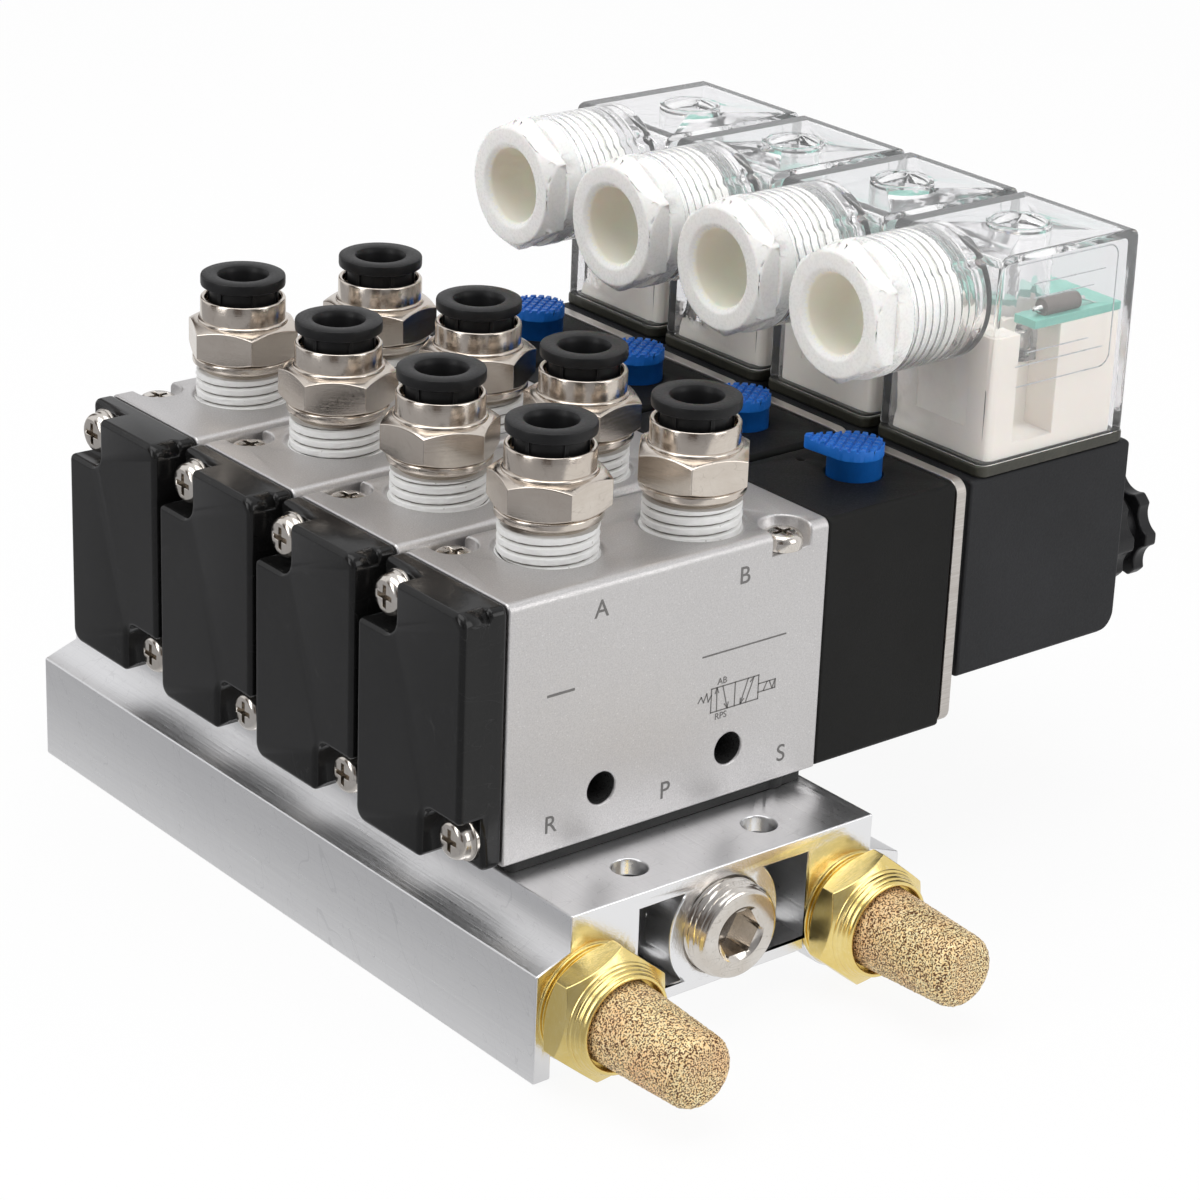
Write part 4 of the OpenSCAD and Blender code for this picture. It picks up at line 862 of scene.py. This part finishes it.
def upright_letter(mesh, text, size, x, y, z):
    curve = bpy.data.curves.new("letter", "FONT")
    curve.body, curve.size, curve.extrude, curve.offset = text, size, mark_depth, size * 0.004
    curve.align_x, curve.align_y = "CENTER", "CENTER"
    word = bpy.data.objects.new("letter", curve)
    bpy.context.scene.collection.objects.link(word)
    word.matrix_world = Matrix.Translation((x, y, z)) @ Matrix.Rotation(math.radians(90), 4, "X")
    bpy.context.view_layer.update()
    flat = bpy.data.meshes.new_from_object(word.evaluated_get(bpy.context.evaluated_depsgraph_get()))
    flat.transform(word.matrix_world)
    mesh.from_mesh(flat)
    bpy.data.objects.remove(word)
    bpy.data.curves.remove(curve)
    bpy.data.meshes.remove(flat)


def stroke(mesh, start, end, width, y, depth=mark_depth):
    """Thin bar from start to end, which are (x, z) in metres, on an upright face."""
    run = Vector((end[0] - start[0], 0, end[1] - start[1]))
    middle = Vector(((start[0] + end[0]) / 2, y, (start[1] + end[1]) / 2))
    turned = Matrix.Rotation(-math.atan2(run.z, run.x), 4, "Y")
    size = Matrix.Diagonal((run.length + width, 2 * depth, width, 1))
    bmesh.ops.create_cube(mesh, size=1.0, matrix=Matrix.Translation(middle) @ turned @ size)


symbol = [
    (0, 0, 8, 0), (0, 3.35, 8, 3.35), (0, 0, 0, 3.35), (4, 0, 4, 3.35), (8, 0, 8, 3.35), (1.0, 0, 0.9, 3.35),
    (0.9, 3.35, 0.65, 2.6), (0.9, 3.35, 1.2, 2.6), (1.9, 3.35, 2.8, 0), (2.8, 0, 2.3, 0.7), (2.8, 0, 2.95, 0.8),
    (6.2, 3.35, 5.0, 0), (5.0, 0, 5.0, 0.8), (5.0, 0, 5.55, 0.6), (7.2, 3.35, 5.9, 0), (7.2, 3.35, 6.6, 2.8),
    (8, 0.9, 10.9, 0.9), (8, 2.1, 10.9, 2.1), (10.9, 0.9, 10.9, 2.1), (8.9, 0.9, 9.5, 2.1),
    (9.9, 2.1, 10.4, 0.9), (10.4, 0.9, 10.9, 2.1), (0, 2.5, -0.5, 1.7), (-0.5, 1.7, -0.8, 2.9),
    (-0.8, 2.9, -1.3, 1.8), (-1.3, 1.8, -1.7, 2.6), (-1.7, 2.6, -2.2, 1.9)]
small_letters = {"AB": (8.9, 16.8), "RPS": (8.9, 11.9)}
letter_size, small_size, symbol_x, symbol_z, symbol_line = 3.4, 1.3, 7.15, 12.7, 0.16
rule_lines = [(5.4, 19.4, 20.9, 0.22), (-19.6, -15.6, 21.8, 0.35)]
for n in stations:
    low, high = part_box(f"valve_body_{n}")
    centre_x, face_y = (low.x + high.x) / 2, low.y
    marks_mesh = bmesh.new()
    for group, size in ((letters, letter_size), (small_letters, small_size)):
        for word, (x, z) in group.items():
            upright_letter(marks_mesh, word, size * mm, centre_x + x * mm, face_y, low.z + z * mm)
    for x0, z0, x1, z1 in symbol:
        points = [(centre_x + (symbol_x + x) * mm, low.z + (symbol_z + z) * mm) for x, z in ((x0, z0), (x1, z1))]
        stroke(marks_mesh, *points, symbol_line * mm, face_y)
    for x0, x1, z, width in rule_lines:
        points = [(centre_x + x * mm, low.z + z * mm) for x in (x0, x1)]
        stroke(marks_mesh, *points, width * mm, face_y)
    register(add_piece(f"laser_marks_{n}", marks_mesh, mark_grey), "blasted_aluminium", body="valve_row")
print("port letters:", " ".join(letters))

# %% [markdown]
# ## Lines moulded into the covers
# A rounded frame and a few parallel lines stand on one side of each cover.
# They are ribs of clear plastic, so thin that only their edges show; they are drawn in a plain grey, a painted glint
# of those edges.

# %% Cover lines
cover_lines = [(-0.6, 24.5, 12.7, 24.5), (-0.5, 22.5, 10.7, 22.5), (-0.9, 15.0, 10.5, 15.0), (-2.9, 13.3, 13.4, 13.3),
               (-2.5, 10.4, 13.4, 10.4)]
frame_x, frame_low, frame_high, corner_r, line_w = 15.0, 10.4, 27.6, 1.8, 0.16
for n in stations:
    low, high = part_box(f"connector_cover_{n}")
    lines_mesh = bmesh.new()
    y, x0, z0 = low.y, high.x - 33.7 * mm, low.z
    rows = [((a, b), (c, d)) for a, b, c, d in cover_lines]
    rows += [((-4.0, frame_high), (frame_x - corner_r, frame_high)),
             ((frame_x, frame_high - corner_r), (frame_x, frame_low + corner_r))]
    for z, way in ((frame_high, 1), (frame_low, -1)):
        bend = [(frame_x - corner_r + corner_r * math.sin(math.radians(a)),
                 z - way * corner_r * (1 - math.cos(math.radians(a))))
                for a in range(0, 91, 18)]
        rows += list(zip(bend, bend[1:]))
    for start, end in rows:
        points = [(x0 + (14.0 + x) * mm, z0 + z * mm) for x, z in (start, end)]
        stroke(lines_mesh, *points, line_w * mm, y + 0.02 * mm, 0.06 * mm)
    register(add_piece(f"cover_lines_{n}", lines_mesh, rib_glint_grey), "clear_polycarbonate",
             body=body_of_node[f"connector_cover_{n}"])
print("cover lines:", len(rows), "on each cover")

# %% [markdown]
# ## Inner pieces
# Spools, springs, armatures and seals hardly show, but each keeps its own
# finish, put straight on the CAD node.

# %% Inner pieces
inner_finishes = {"return_springs": drawn_steel, "armature_tubes": drawn_steel, "pilot_screws": bright_nickel,
                  "tube_seals": gasket_rubber, "gland_seals": bush_rubber}
for n in stations:
    inner_finishes[f"spool_{n}"] = spool_alloy
    inner_finishes[f"armature_{n}"] = drawn_steel
for node, material in inner_finishes.items():
    mesh = frame["nodes"][node].data
    mesh.materials.clear()
    mesh.materials.append(material)
print("inner pieces:", len(inner_finishes))

# %% [markdown]
# ## Floor, backdrop and light
# The product stands on a white sweep. Lamps and world light it at a plain level, and only camera, mirror and glass
# rays see the floor's extra glow, so its soft shadow stays. To camera and glass rays that glow is white; to mirror
# rays it is a painted grey that darkens towards −X, a painted dark reflection for the manifold's side. The room is
# darker in front of the object, which gives the metal something to mirror. Rays that have been through a clear cover
# see floor and room a little darker, which draws the cover's edges.

# %% Floor
floor_mesh = bmesh.new()
bmesh.ops.create_grid(floor_mesh, x_segments=1, y_segments=1, size=3.0, matrix=Matrix.Translation((0, 0, -0.0001)))
white_paper = bpy.data.materials.new("white paper")
white_paper.use_nodes = True
tree = white_paper.node_tree
shader = tree.nodes["Principled BSDF"]
shader.inputs["Roughness"].default_value = 0.9
shader.inputs["Specular IOR Level"].default_value = 0.1
masks = use_group(tree, grain_group, {"Fine scale": 900.0, "Broad scale": 3.0})
tree.links.new(mix_colour(tree, masks["Broad"], (0.92, 0.92, 0.92), (0.90, 0.90, 0.90)), shader.inputs["Base Color"])
path = put(tree, "LightPath").outputs
seen = figure(tree, "MAXIMUM", path["Is Camera Ray"], figure(tree, "MAXIMUM", path["Is Glossy Ray"],
                                                             path["Is Transmission Ray"]))
across = put(tree, "SeparateXYZ", {0: put(tree, "TexCoord").outputs["Object"]}).outputs["X"]
# Mirror rays see the floor as a painted grey that darkens towards −X, a painted dark reflection for the manifold's
# side wall.
mirrored = mix_colour(tree, spread(tree, across, -0.078, -0.048), (0.36, 0.36, 0.37), (0.86, 0.86, 0.86))
mirrored = mix_colour(tree, figure(tree, "GREATER_THAN", path["Transmission Depth"], 0.5), mirrored,
                      (0.80, 0.80, 0.81))
glow = put(tree, "Emission", {"Color": mix_colour(tree, path["Is Glossy Ray"], (1.0, 1.0, 1.0), mirrored),
                              "Strength": 1.0})
lit = put(tree, "MixShader", {0: figure(tree, "MULTIPLY", seen, 0.92), 1: shader.outputs[0], 2: glow.outputs[0]})
tree.links.new(lit.outputs[0], tree.nodes["Material Output"].inputs["Surface"])
floor = add_piece("floor", floor_mesh, white_paper)

# %% World
world = bpy.data.worlds.new("studio")
bpy.context.scene.world = world
world.use_nodes = True
tree = world.node_tree
heading = put(tree, "TexCoord").outputs["Generated"]
frontness = put(tree, "VectorMath", {0: heading, 1: (-0.50, -0.62, 0.10)}, operation="DOT_PRODUCT").outputs["Value"]
room = mix_colour(tree, spread(tree, frontness, -0.1, 0.75), (0.85, 0.85, 0.86), (0.30, 0.30, 0.31))
compass = put(tree, "SeparateXYZ", {0: heading}).outputs
bearing = figure(tree, "ARCTAN2", compass["Y"], compass["X"])
flags = figure(tree, "SINE", figure(tree, "MULTIPLY_ADD", bearing, 5.0, 0.9))
low_down = spread(tree, figure(tree, "ABSOLUTE", compass["Z"]), 0.75, 0.45)
room = mix_colour(tree, figure(tree, "MULTIPLY", spread(tree, flags, 0.35, 0.75), low_down), room, (0.10, 0.08, 0.07))
path = put(tree, "LightPath").outputs
seen = figure(tree, "MAXIMUM", path["Is Camera Ray"], path["Is Transmission Ray"])
room = mix_colour(tree, figure(tree, "GREATER_THAN", path["Transmission Depth"], 0.5), room, (0.62, 0.62, 0.63))
tree.links.new(mix_colour(tree, seen, room, (1.0, 1.0, 1.0)), tree.nodes["Background"].inputs["Color"])

# %% Lamps
def softbox(name, place, size, power):
    lamp = bpy.data.lights.new(name, "AREA")
    lamp.shape = "RECTANGLE"
    lamp.size, lamp.size_y = size
    lamp.energy = power
    holder = bpy.data.objects.new(name, lamp)
    holder.location = place
    holder.rotation_euler = (aim - Vector(place)).to_track_quat("-Z", "Y").to_euler()
    bpy.context.scene.collection.objects.link(holder)


softbox("top_softbox", (-0.15, -0.05, 0.95), (0.9, 0.7), 4.0)
softbox("left_softbox", (-0.85, 0.05, 0.45), (0.35, 0.7), 2.0)
softbox("right_softbox", (0.35, -0.85, 0.40), (0.5, 0.6), 2.2)
bpy.context.scene.view_settings.view_transform = "Standard"
print("lamps:", [light.name for light in bpy.data.lights])

# %% Update the scene
bpy.context.view_layer.update()
